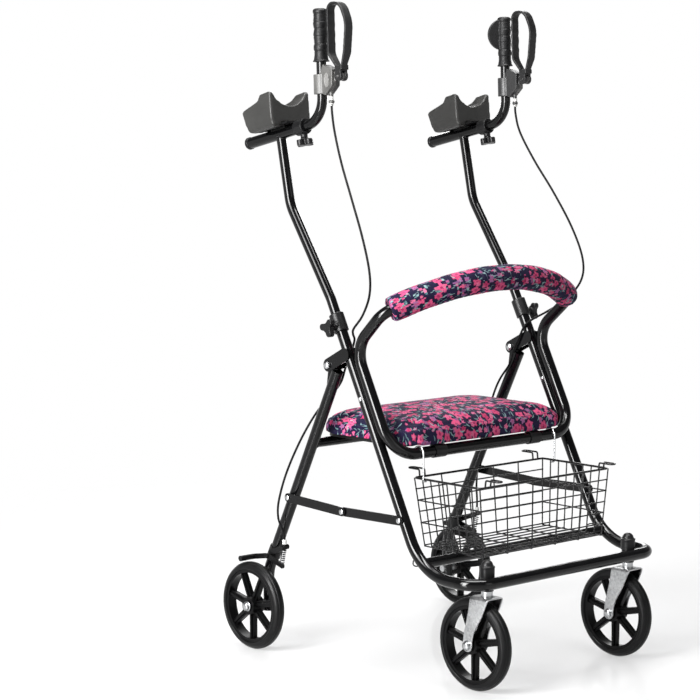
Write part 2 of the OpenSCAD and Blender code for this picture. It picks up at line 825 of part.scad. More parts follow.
// Solid cord through a line of points, with its radius at each one
module cord(line, radii, sides, ref) {
    n = len(line);
    tangents = [for (i = [0:n - 1]) unit(line[min(i + 1, n - 1)] - line[max(i - 1, 0)])];
    rings = [for (i = [0:n - 1]) let (e1 = unit(cross(tangents[i], ref)), e2 = cross(tangents[i], e1))
        for (k = [0:sides - 1]) let (a = full_turn * k / sides)
            line[i] + (e1 * cos(a) + e2 * sin(a)) * radii[i]];
    walls = [for (i = [0:n - 2], k = [0:sides - 1]) let (a = i * sides + k, b = i * sides + (k + 1) % sides)
        each [[a, a + sides, b], [b, a + sides, b + sides]]];
    first = [[for (k = [0:sides - 1]) k]];
    last = [[for (k = [sides - 1:-1:0]) (n - 1) * sides + k]];
    polyhedron(points = rings, faces = concat(walls, first, last));
}

// Brake arm with its shoe across the tyre
module brake_arm(side) {
    x0 = brake_arm_x;
    shoe_out = rear_track / 2 + tyre_w / 2;
    color("#1c1d20") on_side(side) difference() {
        union() {
            side_plate(x0, x0 + brake_arm_t) {
                bar_outline([-shoe_back, shoe_z], [brake_pin_fwd, brake_pin_z], brake_arm_w);
                bar_outline([brake_pin_fwd, brake_pin_z], [brake_tip_fwd, brake_tip_z], brake_arm_w);
            }
            pin(x0, shoe_out, -shoe_back, shoe_z, shoe_core_d);
            pin(x0 + brake_arm_t, shoe_out, -shoe_back, shoe_z, shoe_d);
        }
        pin(x0 - overrun, x0 + brake_arm_t + overrun, brake_pin_fwd, brake_pin_z, brake_pin_d + 2 * slip);
        translate(at(stop_x, brake_tip_fwd, brake_tip_z - brake_arm_w))
            cylinder(d = 2 * inner_wire_d, h = 2 * brake_arm_w);
    }
}

// Side struts
module front_links() {
    x0 = leg_x + tube_r + gap;
    a = [leg_axis_fwd(strut_front_z), strut_front_z];
    b = [strut_mid_fwd, strut_mid_z];
    color("#16171a") both_sides() side_plate(x0, x0 + strut_t) difference() {
        bar_outline(a, b, strut_w);
        translate(a) circle(d = rivet_d + 2 * slip);
        translate(b) circle(d = rivet_d);
    }
}

module rear_links() {
    x0 = leg_x + tube_r + 2 * gap + strut_t;
    a = [rear_axis_fwd(strut_rear_z), strut_rear_z];
    b = [strut_mid_fwd, strut_mid_z];
    color("#16171a") both_sides() {
        side_plate(x0, x0 + strut_t) difference() {
            bar_outline(a, b, strut_w);
            translate(a) circle(d = rivet_d + 2 * slip);
        }
        pin(x0 + strut_t, x0 + strut_t + rivet_head_h, strut_mid_fwd, strut_mid_z, rivet_head_d);
    }
}

// Seat
seat_back_fwd = seat_bar_fwd + seat_over - seat_deep;
seat_mid_fwd = seat_back_fwd + seat_deep / 2;

module rounded_plate(w, l, r, h) {
    linear_extrude(h) {
        square([w - 2 * r, l], center = true);
        square([w, l - 2 * r], center = true);
        for (i = [-1, 1], j = [-1, 1]) {
            translate([i * (w / 2 - r), j * (l / 2 - r)]) circle(r = r);
        }
    }
}

module seat_board() {
    rest_fwd = rear_axis_fwd(rear_bar_z);
    board_deep = seat_deep - seat_over - board_front - board_in;
    color("#24262a") difference() {
        union() {
            translate(at(0, seat_back_fwd + board_in + board_deep / 2, seat_z))
                rounded_plate(seat_w - 2 * board_in, board_deep, board_r, board_t);
            for (s = [-1, 1]) {
                x0 = s * strap_x - strap_w / 2;
                pin(x0, x0 + strap_w, seat_bar_fwd, seat_bar_z, tube_d + 2 * gap + 2 * strap_t);
                translate([x0, fy(seat_bar_fwd), seat_z - strap_t])
                    cube([strap_w, board_front + strap_back, strap_t]);
                translate(at(s * strap_x - rest_w / 2, rest_fwd + rest_l / 2, seat_z - strap_t))
                    cube([rest_w, rest_l, strap_t]);
            }
        }
        rod(at(-leg_x, seat_bar_fwd, seat_bar_z), at(leg_x, seat_bar_fwd, seat_bar_z), tube_d + 2 * gap);
    }
}

// Outline of the seat cushion, drawn in by a share of its size
function seat_ring(share, z) = [for (k = [0:seat_sides - 1])
    let (q = floor(4 * k / seat_sides), i = k - q * seat_sides / 4,
        a = 90 * q + 90 * i / (seat_sides / 4 - 1),
        cx = (q == 0 || q == 3 ? 1 : -1) * (seat_w / 2 - seat_r),
        cy = (q < 2 ? 1 : -1) * (seat_deep / 2 - seat_r))
    [share * (cx + seat_r * cos(a)), share * (cy + seat_r * sin(a)), z]];

seat_edge_shares = [[0.955, 0], [0.98, 0.1], [0.996, 0.3], [1, 0.5], [0.994, 0.7], [0.975, 0.88],
    [0.95, 0.97]];
seat_top_shares = [0.93, 0.91, 0.88, 0.78, 0.64, 0.5, 0.35, 0.2, 0.08];
seat_seam_drop = [0.3, 2, 0, 0, 0, 0, 0, 0, 0];

// Crowned cushion with drawn-in sides and a seam groove round its top
module seat_pad() {
    rows = concat([for (e = seat_edge_shares) seat_ring(e[0], e[1] * seat_t)],
        [for (j = [0:len(seat_top_shares) - 1]) let (s = seat_top_shares[j])
            seat_ring(s, seat_t + seat_crown * (1 - s * s) - seat_seam_drop[j])]);
    n = len(rows);
    points = [for (r = rows) each r];
    walls = [for (i = [0:n - 2], k = [0:seat_sides - 1])
        let (a = i * seat_sides + k, b = i * seat_sides + (k + 1) % seat_sides)
        each [[a, a + seat_sides, b], [b, a + seat_sides, b + seat_sides]]];
    floor_face = [[for (k = [0:seat_sides - 1]) k]];
    top_face = [[for (k = [seat_sides - 1:-1:0]) (n - 1) * seat_sides + k]];
    color("#2a2f52") translate(at(0, seat_mid_fwd, seat_z + board_t))
        polyhedron(points = points, faces = concat(walls, floor_face, top_face));
}

// Wheels, drawn round x
module wheel_at(x, fwd) {
    translate(at(x, fwd, axle_z)) rotate([0, 90, 0]) children();
}

module wheel_body(hub_w) {
    rim_r = wheel_d / 2 - tyre_t;
    spoke_in = hub_d / 2 - hub_ring_t;
    spoke_out = rim_r - rim_t / 2;
    color("#1f2022") difference() {
        union() {
            cylinder(d = hub_d, h = hub_w - 2 * hub_ring_t, center = true);
            cylinder(d = hub_ring_d, h = hub_w, center = true);
            difference() {
                cylinder(r = rim_r, h = rim_w, center = true);
                cylinder(r = rim_r - rim_t, h = rim_w + overrun, center = true);
            }
            for (k = [0:spoke_count - 1]) {
                rotate([0, 0, full_turn * k / spoke_count]) {
                    linear_extrude(spoke_t, center = true)
                        polygon([[spoke_in, -spoke_root_w / 2], [spoke_out, -spoke_tip_w / 2],
                        [spoke_out, spoke_tip_w / 2], [spoke_in, spoke_root_w / 2]]);
                    translate([spoke_in, -rib_w / 2, -rib_t / 2])
                        cube([spoke_out - spoke_in, rib_w, rib_t]);
                }
            }
        }
        cylinder(d = axle_d + 2 * slip, h = hub_w + overrun, center = true);
    }
}

module tyre_body() {
    color("#131314") rotate_extrude() difference() {
        translate([wheel_d / 2 - tyre_w / 2, 0]) circle(d = tyre_w);
        translate([0, -tyre_w]) square([wheel_d / 2 - tyre_t, 2 * tyre_w]);
    }
}

// Casters
function curve(a, b, c, d, n) = [for (i = [0:n]) let (t = i / n, s = 1 - t)
    a * s * s * s + b * 3 * s * s * t + c * 3 * s * t * t + d * t * t * t];
fork_steps = 10;
fork_foot = axle_z;
fork_head = crown_z + crown_t;
fork_drop = fork_head - fork_foot;
fork_shares = [0.55, 0.3, 0.4, 0.55];
fork_back_pull = 4;
fork_front_pull = 12;
fork_back_edge = curve([crown_back, fork_head], [crown_back + fork_back_pull,
    fork_foot + fork_drop * fork_shares[0]],
    [caster_trail + fork_end_r, fork_foot + fork_drop * fork_shares[1]],
        [caster_trail + fork_end_r, fork_foot], fork_steps);
fork_front_edge = curve([caster_trail - fork_end_r, fork_foot],
    [caster_trail - fork_end_r, fork_foot + fork_drop * fork_shares[2]],
    [fork_front_pull - crown_front, fork_foot + fork_drop * fork_shares[3]], [-crown_front, fork_head],
        fork_steps);

module caster_fork(side) {
    color("#c3c6c9") on_side(side) difference() {
        union() {
            translate([stem_x - fork_in / 2 - fork_t, fy(stem_fwd + crown_front), crown_z])
                cube([fork_in + 2 * fork_t, crown_front + crown_back, crown_t]);
            for (s = [-1, 1]) {
                x0 = stem_x + (s > 0 ? fork_in / 2 : -fork_in / 2 - fork_t);
                place([x0 + fork_t, fy(stem_fwd), 0], [0, 1, 0], [0, 0, 1]) translate([0, 0, -fork_t])
                    linear_extrude(fork_t) {
                    polygon(concat(fork_back_edge, fork_front_edge));
                    translate([caster_trail, fork_foot]) circle(r = fork_end_r);
                }
            }
        }
        pin(stem_x - fork_in, stem_x + fork_in, wheel_base, axle_z, axle_d);
        translate(at(stem_x, stem_fwd, crown_z - overrun)) cylinder(d = stem_d, h = crown_t + 2 * overrun);
    }
}

// Caster stem with its bearing and nut, and the caster axle bolt
module caster_bolts(side) {
    x0 = stem_x - fork_in / 2 - fork_t;
    x1 = stem_x + fork_in / 2 + fork_t;
    stem_top = sleeve_z + sleeve_h + gap;
    color("#b9bcc0") on_side(side) {
        translate(at(stem_x, stem_fwd, crown_z)) cylinder(d = stem_d, h = stem_top - crown_z);
        translate(at(stem_x, stem_fwd, crown_z + crown_t)) cylinder(d = bearing_d, h = bearing_h);
        translate(at(stem_x, stem_fwd, stem_top)) cylinder(d = stem_nut_d, h = stem_nut_h - gap);
        pin(x0, x1, wheel_base, axle_z, axle_d);
        pin(x1, x1 + bolt_head_h, wheel_base, axle_z, bolt_head_d);
        pin(x0 - nut_h, x0, wheel_base, axle_z, nut_d);
    }
}

// Arms
module arm_frame() {
    translate(at(leg_x, arm_fwd, arm_z)) rotate([-arm_rise, 0, 0]) children();
}

// Cylinder along the forearm tube, from y0 to y1
module arm_bar(y0, y1, d) {
    translate([0, y1, 0]) rotate([90, 0, 0]) cylinder(d = d, h = y1 - y0);
}

module arm_post(side) {
    color("#16171a") on_side(side) {
        difference() {
            bent_tube(post_path, post_bends, post_d, post_wall);
            arm_frame() arm_bar(-arm_front, arm_back, tube_d - tube_wall * peg_share);
        }
        arm_frame() difference() {
            arm_bar(-arm_front, arm_back, tube_d);
            arm_bar(-arm_front - overrun, arm_back + overrun, tube_d - 2 * tube_wall);
        }
    }
}

// Plug in the rear of the forearm tube and clamp on its front
module arm_fittings(side) {
    knob_y = -arm_front - clamp_knob_ahead;
    color("#1c1d20") on_side(side) arm_frame() {
        arm_bar(arm_back, arm_back + plug_lip_h, plug_lip_d);
        arm_bar(arm_back - plug_in, arm_back, tube_d - 2 * tube_wall);
        difference() {
            union() {
                arm_bar(-arm_front - clamp_ahead, -arm_front + clamp_back, clamp_d);
                translate([0, knob_y, -clamp_boss_h]) cylinder(d = boss_d, h = clamp_boss_h);
            }
            arm_bar(-arm_front, -arm_front + clamp_back + overrun, tube_d);
            arm_bar(-arm_front - clamp_ahead - overrun, -arm_front + overrun, handle_d + 2 * slip);
            translate([0, knob_y, -clamp_boss_h - overrun])
                cylinder(d = knob_stem_d + 2 * slip, h = clamp_boss_h);
        }
    }
}

module trough_plate(side) {
    color("#1c1d20") on_side(side) arm_frame() difference() {
        union() {
            translate([-plate_w / 2, -plate_front, tube_r])
                cube([plate_w, plate_front + plate_back, plate_t]);
            translate([-saddle_w / 2, -plate_front / 2, tube_r - saddle_rise])
                cube([saddle_w, plate_front / 2 + plate_back / 2, saddle_rise]);
        }
        arm_bar(-arm_front, arm_back, tube_d);
    }
}

// Moulded trough with a raised front wing on each side of the forearm
module trough_pad(side) {
    outline = [[trough_foot_back, trough_low], [trough_back, trough_tail_z - trough_edge_t],
        [trough_back - trough_edge_t, trough_tail_z], [-trough_step_y, trough_step_z],
            [-trough_peak_y, trough_shoulder_z],
        [-trough_front + trough_edge_t, trough_wing_z], [-trough_front, trough_wing_z - trough_edge_t],
        [-trough_foot_front, trough_low]];
    half = trough_w / 2;
    foot = trough_foot_w / 2;
    top = trough_wing_z + overrun;
    hollow_w = half - trough_lip_w;
    hollow_r = (hollow_w * hollow_w + trough_dip * trough_dip) / (2 * trough_dip);
    color("#3a3c40") on_side(side) arm_frame() difference() {
        intersection() {
            place([-half, 0, 0], [0, 1, 0], [0, 0, 1]) linear_extrude(trough_w) polygon(outline);
            translate([0, trough_back + overrun, 0]) rotate([90, 0, 0])
                linear_extrude(trough_back + trough_front + 2 * overrun)
                polygon([[-foot, trough_low], [foot, trough_low],
                    [foot + trough_edge_t, trough_low + trough_edge_t],
                    [half, trough_low + 4 * trough_edge_t], [half, top], [-half, top],
                        [-half, trough_low + 4 * trough_edge_t],
                    [-foot - trough_edge_t, trough_low + trough_edge_t]]);
        }
        translate([0, 0, trough_wing_z - trough_dip + hollow_r])
            arm_bar(-trough_front - overrun, trough_back + overrun, 2 * hollow_r);
        translate([-plate_w / 2, -trough_front - overrun, 0])
            cube([plate_w, trough_front + plate_back + overrun, tube_r + plate_t]);
        arm_bar(-trough_front - overrun, trough_back + overrun, tube_d);
        translate([-tube_r, 0, 0]) cube([tube_d, trough_back + overrun, tube_r]);
    }
}

// Lobed knob on a stem along +z, with its hub starting at z0
module knob_shape(lobes, z0, stem) {
    cylinder(d = knob_stem_d, h = stem);
    translate([0, 0, z0]) {
        cylinder(d = knob_hub_d, h = knob_neck);
        translate([0, 0, knob_neck]) {
            cylinder(d = knob_hub_d + knob_neck, h = knob_t);
            for (k = [0:lobes - 1]) {
                rotate([0, 0, full_turn * k / lobes]) {
                    translate([knob_lobe_r, 0, 0]) cylinder(d = knob_lobe_d, h = knob_t);
                    translate([0, -knob_lobe_d / 2, 0]) cube([knob_lobe_r, knob_lobe_d, knob_t]);
                }
            }
        }
    }
}

module height_knob(side) {
    start = post_d / 2 + gap;
    color("#1c1d20") on_side(side) collar_frame() translate([0, 0, -knob_drop]) rotate([0, 90, 0])
        translate([0, 0, start])
        knob_shape(height_knob_lobes, boss_reach - start + gap, boss_reach);
}

module arm_knob(side) {
    start = handle_d / 2 + gap;
    color("#1c1d20") on_side(side) arm_frame() translate([0, -arm_front - clamp_knob_ahead, 0])
        rotate([half_turn, 0, 0])
        translate([0, 0, start]) knob_shape(arm_knob_lobes, clamp_boss_h - start + gap, clamp_boss_h);
}

module handle_tube(side) {
    color("#16171a") on_side(side) bent_tube(handle_path, [handle_r], handle_d, post_wall);
}

module handle_frame() {
    translate(handle_foot) rotate([-handle_lean, 0, 0]) children();
}

module hand_grip(side) {
    r = grip_d / 2;
    bore = handle_d / 2;
    body_h = grip_h - grip_flare_h - grip_round;
    wave = [for (i = [0:grip_steps]) [r - grip_wave * (1 - cos(full_turn * grip_waves * i / grip_steps)),
        grip_flare_h + body_h * i / grip_steps]];
    color("#1a1a1b") on_side(side) handle_frame() translate([0, 0, grip_low]) difference() {
        union() {
            rotate_extrude() polygon(concat([[0, 0], [r + grip_flare, 0],
                [r + grip_flare, grip_flare_h / 2]], wave,
                [[r - grip_round / 3, grip_h - grip_round / 3], [r - grip_round, grip_h], [0, grip_h]]));
            place([0, 0, wing_low], [-wing_in_share, wing_back_share,
                0] / norm([wing_in_share, wing_back_share]), [0, 0, 1])
                linear_extrude(wing_t, center = true) polygon([for (i = [0:grip_steps])
                    let (a = half_turn * i / grip_steps - 90) [(r + wing_reach) * cos(a),
                        wing_h / 2 * (1 + sin(a))]]);
        }
        translate([0, 0, -overrun]) cylinder(r = bore, h = handle_h - grip_low + overrun);
    }
}

// Plate in the fore-and-aft plane of the handle, drawn as reach and height
module handle_plate(w) {
    place([0, 0, 0], [0, -1, 0], [0, 0, 1]) linear_extrude(w, center = true) children();
}

module brake_housing(side) {
    color("#84878b") on_side(side) handle_frame() difference() {
        union() {
            translate([0, 0, housing_low]) cylinder(d = housing_d, h = housing_h);
            handle_plate(housing_t) polygon([for (s = housing_shares)
                [housing_back + (housing_front - housing_back) * s[0],
                    housing_foot + (housing_head - housing_foot) * s[1]]]);
            handle_plate(tongue_t) {
                translate([lever_fwd, lever_z]) circle(r = tongue_r);
                translate([recess_fwd, lever_z - tongue_r]) square([lever_fwd - recess_fwd, 2 * tongue_r]);
            }
            handle_plate(lever_cheek_w) translate([lever_fwd, lever_z]) circle(d = lever_pin_d);
            translate([0, -adjuster_fwd, adjuster_low])
                cylinder(d = adjuster_d, h = adjuster_top - adjuster_low);
            translate([0, -adjuster_fwd, adjuster_low + adjuster_nut_h])
                cylinder(d = adjuster_nut_d, h = adjuster_nut_h);
        }
        translate([0, 0, housing_low - overrun]) cylinder(d = handle_d, h = 2 * housing_h);
        translate([0, -adjuster_fwd, adjuster_low - overrun])
            cylinder(d = cable_d + 2 * cable_play, h = adjuster_nut_h + 3 * overrun);
        translate([housing_t / 2 - recess_deep, 0, 0])
            place([0, -recess_fwd, recess_z], [0, 1, 0], [0, 0, 1])
            linear_extrude(2 * recess_deep) polygon([for (i = [0:grip_steps - 1])
                [recess_a * cos(full_turn * i / grip_steps), recess_b * sin(full_turn * i / grip_steps)]]);
    }
}

// Loop lever that turns on the housing pin
module brake_lever(side) {
    cheek_in = tongue_t / 2 + gap;
    line = [for (s = lever_shares) [0, -lever_back - (lever_front - lever_back) * s[0],
        lever_foot + (lever_top - lever_foot) * s[1]]];
    color("#1a1a1b") on_side(side) handle_frame() difference() {
        union() {
            swept(line, lever_bends, [1, 0, 0]) {
                square([lever_t, lever_w], center = true);
                square([lever_t, lever_w] * (1 - peg_share), center = true);
            }
            handle_plate(lever_cheek_w) {
                translate([lever_fwd, lever_z]) circle(r = lever_cheek_r);
                translate([lever_block_back, lever_z])
                    square([2 * (lever_fwd - lever_block_back), lever_block_high - lever_z]);
                translate([lever_block_back, lever_block_low])
                    square([lever_block_front - lever_block_back, lever_block_high - lever_block_low]);
            }
        }
        handle_plate(2 * cheek_in) {
            translate([0, lever_z - 2 * tongue_r])
                square([lever_fwd, lever_block_low - lever_z + 2 * tongue_r]);
            translate([lever_fwd, lever_z]) circle(r = lever_block_low - lever_z);
        }
        handle_plate(2 * lever_cheek_w) translate([lever_fwd, lever_z]) circle(d = lever_pin_d + 2 * slip);
    }
}

// Smooth line through the cable route
function smooth(a, b, c, d, t) = (2 * b + (c - a) * t + (2 * a - 5 * b + 4 * c - d) * t * t
    + (3 * b - a - 3 * c + d) * t * t * t) / 2;

module brake_cable(side) {
    p = [for (q = cable_route) at(q[0], q[1], q[2])];
    n = len(p);
    sheath = [for (i = [0:n - 2], k = [0:cable_steps - 1])
        smooth(p[max(i - 1, 0)], p[i], p[i + 1], p[min(i + 2, n - 1)], k / cable_steps)];
    tail = [p[n - 1], p[n - 1] - [0, 0, inner_wire_d], at(stop_x, stop_fwd, stop_z),
        at(stop_x, brake_tip_fwd, brake_tip_z + brake_arm_w / 2 + 2 * inner_wire_d),
        at(stop_x, brake_tip_fwd, brake_tip_z)];
    radii = concat([for (q = sheath) cable_d / 2],
        [cable_d / 2, inner_wire_d / 2, inner_wire_d / 2, inner_wire_d / 2, inner_wire_d / 2]);
    color("#151516") on_side(side) cord(concat(sheath, tail), radii, cable_sides, [1, 0, 0]);
}

// Basket of welded wire
floor_z = crossbar_z + crossbar_d / 2 + basket_floor_gap + wire_d / 2;
wall_h = basket_top_z - floor_z;
hook_x = basket_w / 2 - hook_in;
function wall_x(s) = basket_w / 2 - basket_foot_in * (1 - s);
function rear_wall_fwd(s) = basket_rear_fwd + basket_rear_in * (1 - s);
function front_wall_fwd(s) = basket_rear_fwd + basket_deep - basket_front_in * (1 - s);
wall_foot_share = wire_d / wall_h;

module wire(a, b, d) {
    along(a, b) circle(d = d, $fn = wire_sides);
}

module basket_floor() {
    f0 = rear_wall_fwd(0);
    f1 = front_wall_fwd(0);
    x1 = wall_x(0);
    color("#17181a") {
        for (i = [0:basket_end_posts - 1]) {
            f = f0 + (f1 - f0) * i / (basket_end_posts - 1);
            wire(at(-x1, f, floor_z), at(x1, f, floor_z), wire_d);
        }
        for (i = [0:basket_posts - 1]) {
            x = x1 * (2 * i / (basket_posts - 1) - 1);
            wire(at(x, f0, floor_z), at(x, f1, floor_z), wire_d);
        }
    }
}

// One long wall, with its wires leaning out towards the rim
module long_wall(f_low, f_rim, outward) {
    steps = basket_rows - 1;
    for (i = [1:steps - 1]) {
        s = i / steps;
        f = f_low + (f_rim - f_low) * s;
        wire(at(-wall_x(s), f, floor_z + wall_h * s), at(wall_x(s), f, floor_z + wall_h * s), wire_d);
    }
    for (i = [0:basket_posts - 1]) {
        k = 2 * i / (basket_posts - 1) - 1;
        s = wall_foot_share;
        wire(at(k * wall_x(s), f_low + (f_rim - f_low) * s, floor_z + wall_h * s),
            at(k * wall_x(1), f_rim, basket_top_z), wire_d);
    }
    wire(at(-wall_x(1) - rim_d / 2, f_rim, basket_top_z), at(wall_x(1) + rim_d / 2, f_rim, basket_top_z),
        rim_d);
    both_sides() swept([at(hook_x - hook_w / 2, f_rim, basket_top_z),
        at(hook_x - hook_w / 2, f_rim + outward * hook_reach, basket_top_z + hook_rise),
        at(hook_x + hook_w / 2, f_rim + outward * hook_reach, basket_top_z + hook_rise),
            at(hook_x + hook_w / 2, f_rim, basket_top_z)],
        [hook_r, hook_r]) {
        circle(d = hanger_d);
        circle(d = hanger_d * (1 - peg_share));
    }
}

module basket_front() {
    color("#17181a") long_wall(front_wall_fwd(0), front_wall_fwd(1), 1);
}

module basket_rear() {
    color("#17181a") long_wall(rear_wall_fwd(0), rear_wall_fwd(1), -1);
}

module basket_ends() {
    inset = wire_d / 2 + gap;
    rim_inset = rim_d / 2 + gap;
    color("#17181a") both_sides() {
        for (i = [1:basket_end_posts - 2]) {
            k = i / (basket_end_posts - 1);
            s = wall_foot_share;
            wire(at(wall_x(s), rear_wall_fwd(s) + (front_wall_fwd(s) - rear_wall_fwd(s)) * k,
                floor_z + wall_h * s),
                at(wall_x(1), rear_wall_fwd(1) + (front_wall_fwd(1) - rear_wall_fwd(1)) * k,
                    basket_top_z), wire_d);
        }
        for (i = [1:basket_end_rows - 1]) {
            s = i / basket_end_rows;
            wire(at(wall_x(s), rear_wall_fwd(s) + inset, floor_z + wall_h * s),
                at(wall_x(s), front_wall_fwd(s) - inset, floor_z + wall_h * s), wire_d);
        }
        wire(at(wall_x(1), rear_wall_fwd(1) + rim_inset, basket_top_z),
            at(wall_x(1), front_wall_fwd(1) - rim_inset, basket_top_z), rim_d);
    }
}

// Wire hangers from the seat front bar to the basket ends
module basket_hangers() {
    r = tube_r + hanger_d / 2;
    x = wall_x(1) + rim_d / 2 + hanger_d / 2;
    z = basket_top_z - rim_d / 2 - hanger_d / 2;
    bar_x = min(x, leg_x - seat_corner_r - hanger_d);
    top = seat_bar_z + r;
    color("#b9bcc0") both_sides() swept([at(bar_x, seat_bar_fwd - r, seat_bar_z - hanger_back),
        at(bar_x, seat_bar_fwd - r, top),
        at(bar_x, seat_bar_fwd + r, top), at(x, seat_bar_fwd + r, z),
        at(x - hanger_tail, seat_bar_fwd + r, z)],
        [r - gap / 4, r - gap / 4, hanger_d]) {
        circle(d = hanger_d);
        circle(d = hanger_d * (1 - peg_share));
    }
}

leg_loop_tube();
lower_crossbar();
stem_sleeves();
stem_caps();
pivot_brackets();
seat_frame_tube();
backrest_tube();
backrest_pad();
height_collars();
frame_bolts();
rear_legs();
rear_crossbar();
rear_bolts();
brake_brackets();
brake_springs();
brake_arm(1);  // brake_arm_left
brake_arm(-1);  // brake_arm_right
front_links();
rear_links();
seat_board();
seat_pad();
wheel_at(rear_track / 2, 0) wheel_body(rear_hub_w);  // rear_wheel_left
wheel_at(-rear_track / 2, 0) wheel_body(rear_hub_w);  // rear_wheel_right
wheel_at(rear_track / 2, 0) tyre_body();  // rear_tyre_left
wheel_at(-rear_track / 2, 0) tyre_body();  // rear_tyre_right
wheel_at(stem_x, wheel_base) wheel_body(caster_hub_w);  // caster_wheel_left
wheel_at(-stem_x, wheel_base) wheel_body(caster_hub_w);  // caster_wheel_right
wheel_at(stem_x, wheel_base) tyre_body();  // caster_tyre_left
wheel_at(-stem_x, wheel_base) tyre_body();  // caster_tyre_right
caster_fork(1);  // caster_fork_left
caster_fork(-1);  // caster_fork_right
caster_bolts(1);  // caster_bolts_left
caster_bolts(-1);  // caster_bolts_right
arm_post(1);  // arm_post_left
arm_post(-1);  // arm_post_right
arm_fittings(1);  // arm_fittings_left
arm_fittings(-1);  // arm_fittings_right
trough_plate(1);  // trough_plate_left
trough_plate(-1);  // trough_plate_right
trough_pad(1);  // trough_pad_left
trough_pad(-1);  // trough_pad_right
height_knob(1);  // height_knob_left
height_knob(-1);  // height_knob_right
arm_knob(1);  // arm_knob_left
arm_knob(-1);  // arm_knob_right
handle_tube(1);  // handle_tube_left
handle_tube(-1);  // handle_tube_right
hand_grip(1);  // hand_grip_left
hand_grip(-1);  // hand_grip_right
brake_housing(1);  // brake_housing_left
brake_housing(-1);  // brake_housing_right
brake_lever(1);  // brake_lever_left
brake_lever(-1);  // brake_lever_right
brake_cable(1);  // brake_cable_left
brake_cable(-1);  // brake_cable_right
basket_floor();
basket_front();
basket_rear();
basket_ends();
basket_hangers();
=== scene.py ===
"""Looks of an upright walker: paint, print fabric, foam, rubber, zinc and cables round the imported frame."""
import json
import math

import bmesh
import bpy
import numpy as np
from mathutils import Matrix, Vector
from mathutils.bvhtree import BVHTree


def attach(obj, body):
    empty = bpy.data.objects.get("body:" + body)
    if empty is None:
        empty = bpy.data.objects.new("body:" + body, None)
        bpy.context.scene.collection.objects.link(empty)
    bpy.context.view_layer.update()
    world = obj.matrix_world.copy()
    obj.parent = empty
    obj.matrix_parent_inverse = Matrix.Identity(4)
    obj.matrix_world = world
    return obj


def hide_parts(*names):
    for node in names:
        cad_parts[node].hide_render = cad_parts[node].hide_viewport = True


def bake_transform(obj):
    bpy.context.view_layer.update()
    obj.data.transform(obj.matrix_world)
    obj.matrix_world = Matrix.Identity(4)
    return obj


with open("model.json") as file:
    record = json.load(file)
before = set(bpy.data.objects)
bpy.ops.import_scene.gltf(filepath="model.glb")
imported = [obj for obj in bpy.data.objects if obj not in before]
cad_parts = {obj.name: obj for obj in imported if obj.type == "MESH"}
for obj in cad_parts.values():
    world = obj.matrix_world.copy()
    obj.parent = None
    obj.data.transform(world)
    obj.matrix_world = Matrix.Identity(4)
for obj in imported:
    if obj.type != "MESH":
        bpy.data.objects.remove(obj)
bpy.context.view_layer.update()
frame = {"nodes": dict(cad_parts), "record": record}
NODES = frame["nodes"]
BODY_OF = {n: b for b, members in frame["record"]["behaviour"]["bodies"].items() for n in members}
SLOT_OF = {p["node"]: p["material_slot"] for p in frame["record"]["subparts"]}
scene = bpy.context.scene

# Sizes of the walker in millimetres, across, ahead of the rear axle, and up
MM = 0.001
WHEEL_BASE = 600
LEG_X = 288
LEG_LEAN = 27
LEG_TOP = (237.5, 765)
REAR_LEAN = 26.3
KNEE_Z = 175
TUBE_D = 25.4
ARM_RISE = 11.7
HANDLE_LEAN = 2.3
HANDLE_REACH = 145
REAR_TRACK = 668
STEM_X = 224.5
STEM_FWD = 633
WHEEL_D = 200
AXLE_Z = 100
SEAT_BAR = (409.6933, 483)
PIVOT = (222, 666)
STRUT_FRONT_Z = 352
STRUT_REAR_Z = 356
STRUT_MID = (270, 348)
RIVET_Z = 600
CROSSBAR, CROSSBAR_R = (476.7, 266), 11
POST_TOP, POST_KNEE, POST_R = (46.8, 1168), (80, 1010), 11.12
BRAKE_END = (309, 80)
SIDES = (("left", 1), ("right", -1))
BOTH = (1, -1)


def at(x, fwd, z):
    """A place in the frame, in metres, from millimetres across, ahead of the rear axle, and up."""
    return Vector((x, WHEEL_BASE / 2 - fwd, z)) * MM


def leaned(origin, degrees):
    """A frame at origin that leans back about the axis across the walker."""
    return Matrix.Translation(origin) @ Matrix.Rotation(math.radians(-degrees), 4, "X")


def leg_fwd(z):
    return LEG_TOP[0] + (LEG_TOP[1] - z) * math.tan(math.radians(LEG_LEAN))


def rear_fwd(z):
    return (z - KNEE_Z) * math.tan(math.radians(REAR_LEAN))


def seat_line_fwd(z):
    return leg_fwd(z) + TUBE_D / math.cos(math.radians(LEG_LEAN))


ARM = leaned(at(LEG_X, *POST_TOP), ARM_RISE)
HANDLE = leaned(ARM @ (Vector((0, -HANDLE_REACH, 0)) * MM), HANDLE_LEAN)


def mirrored(p, side):
    return Vector((p[0] * side, p[1], p[2]))


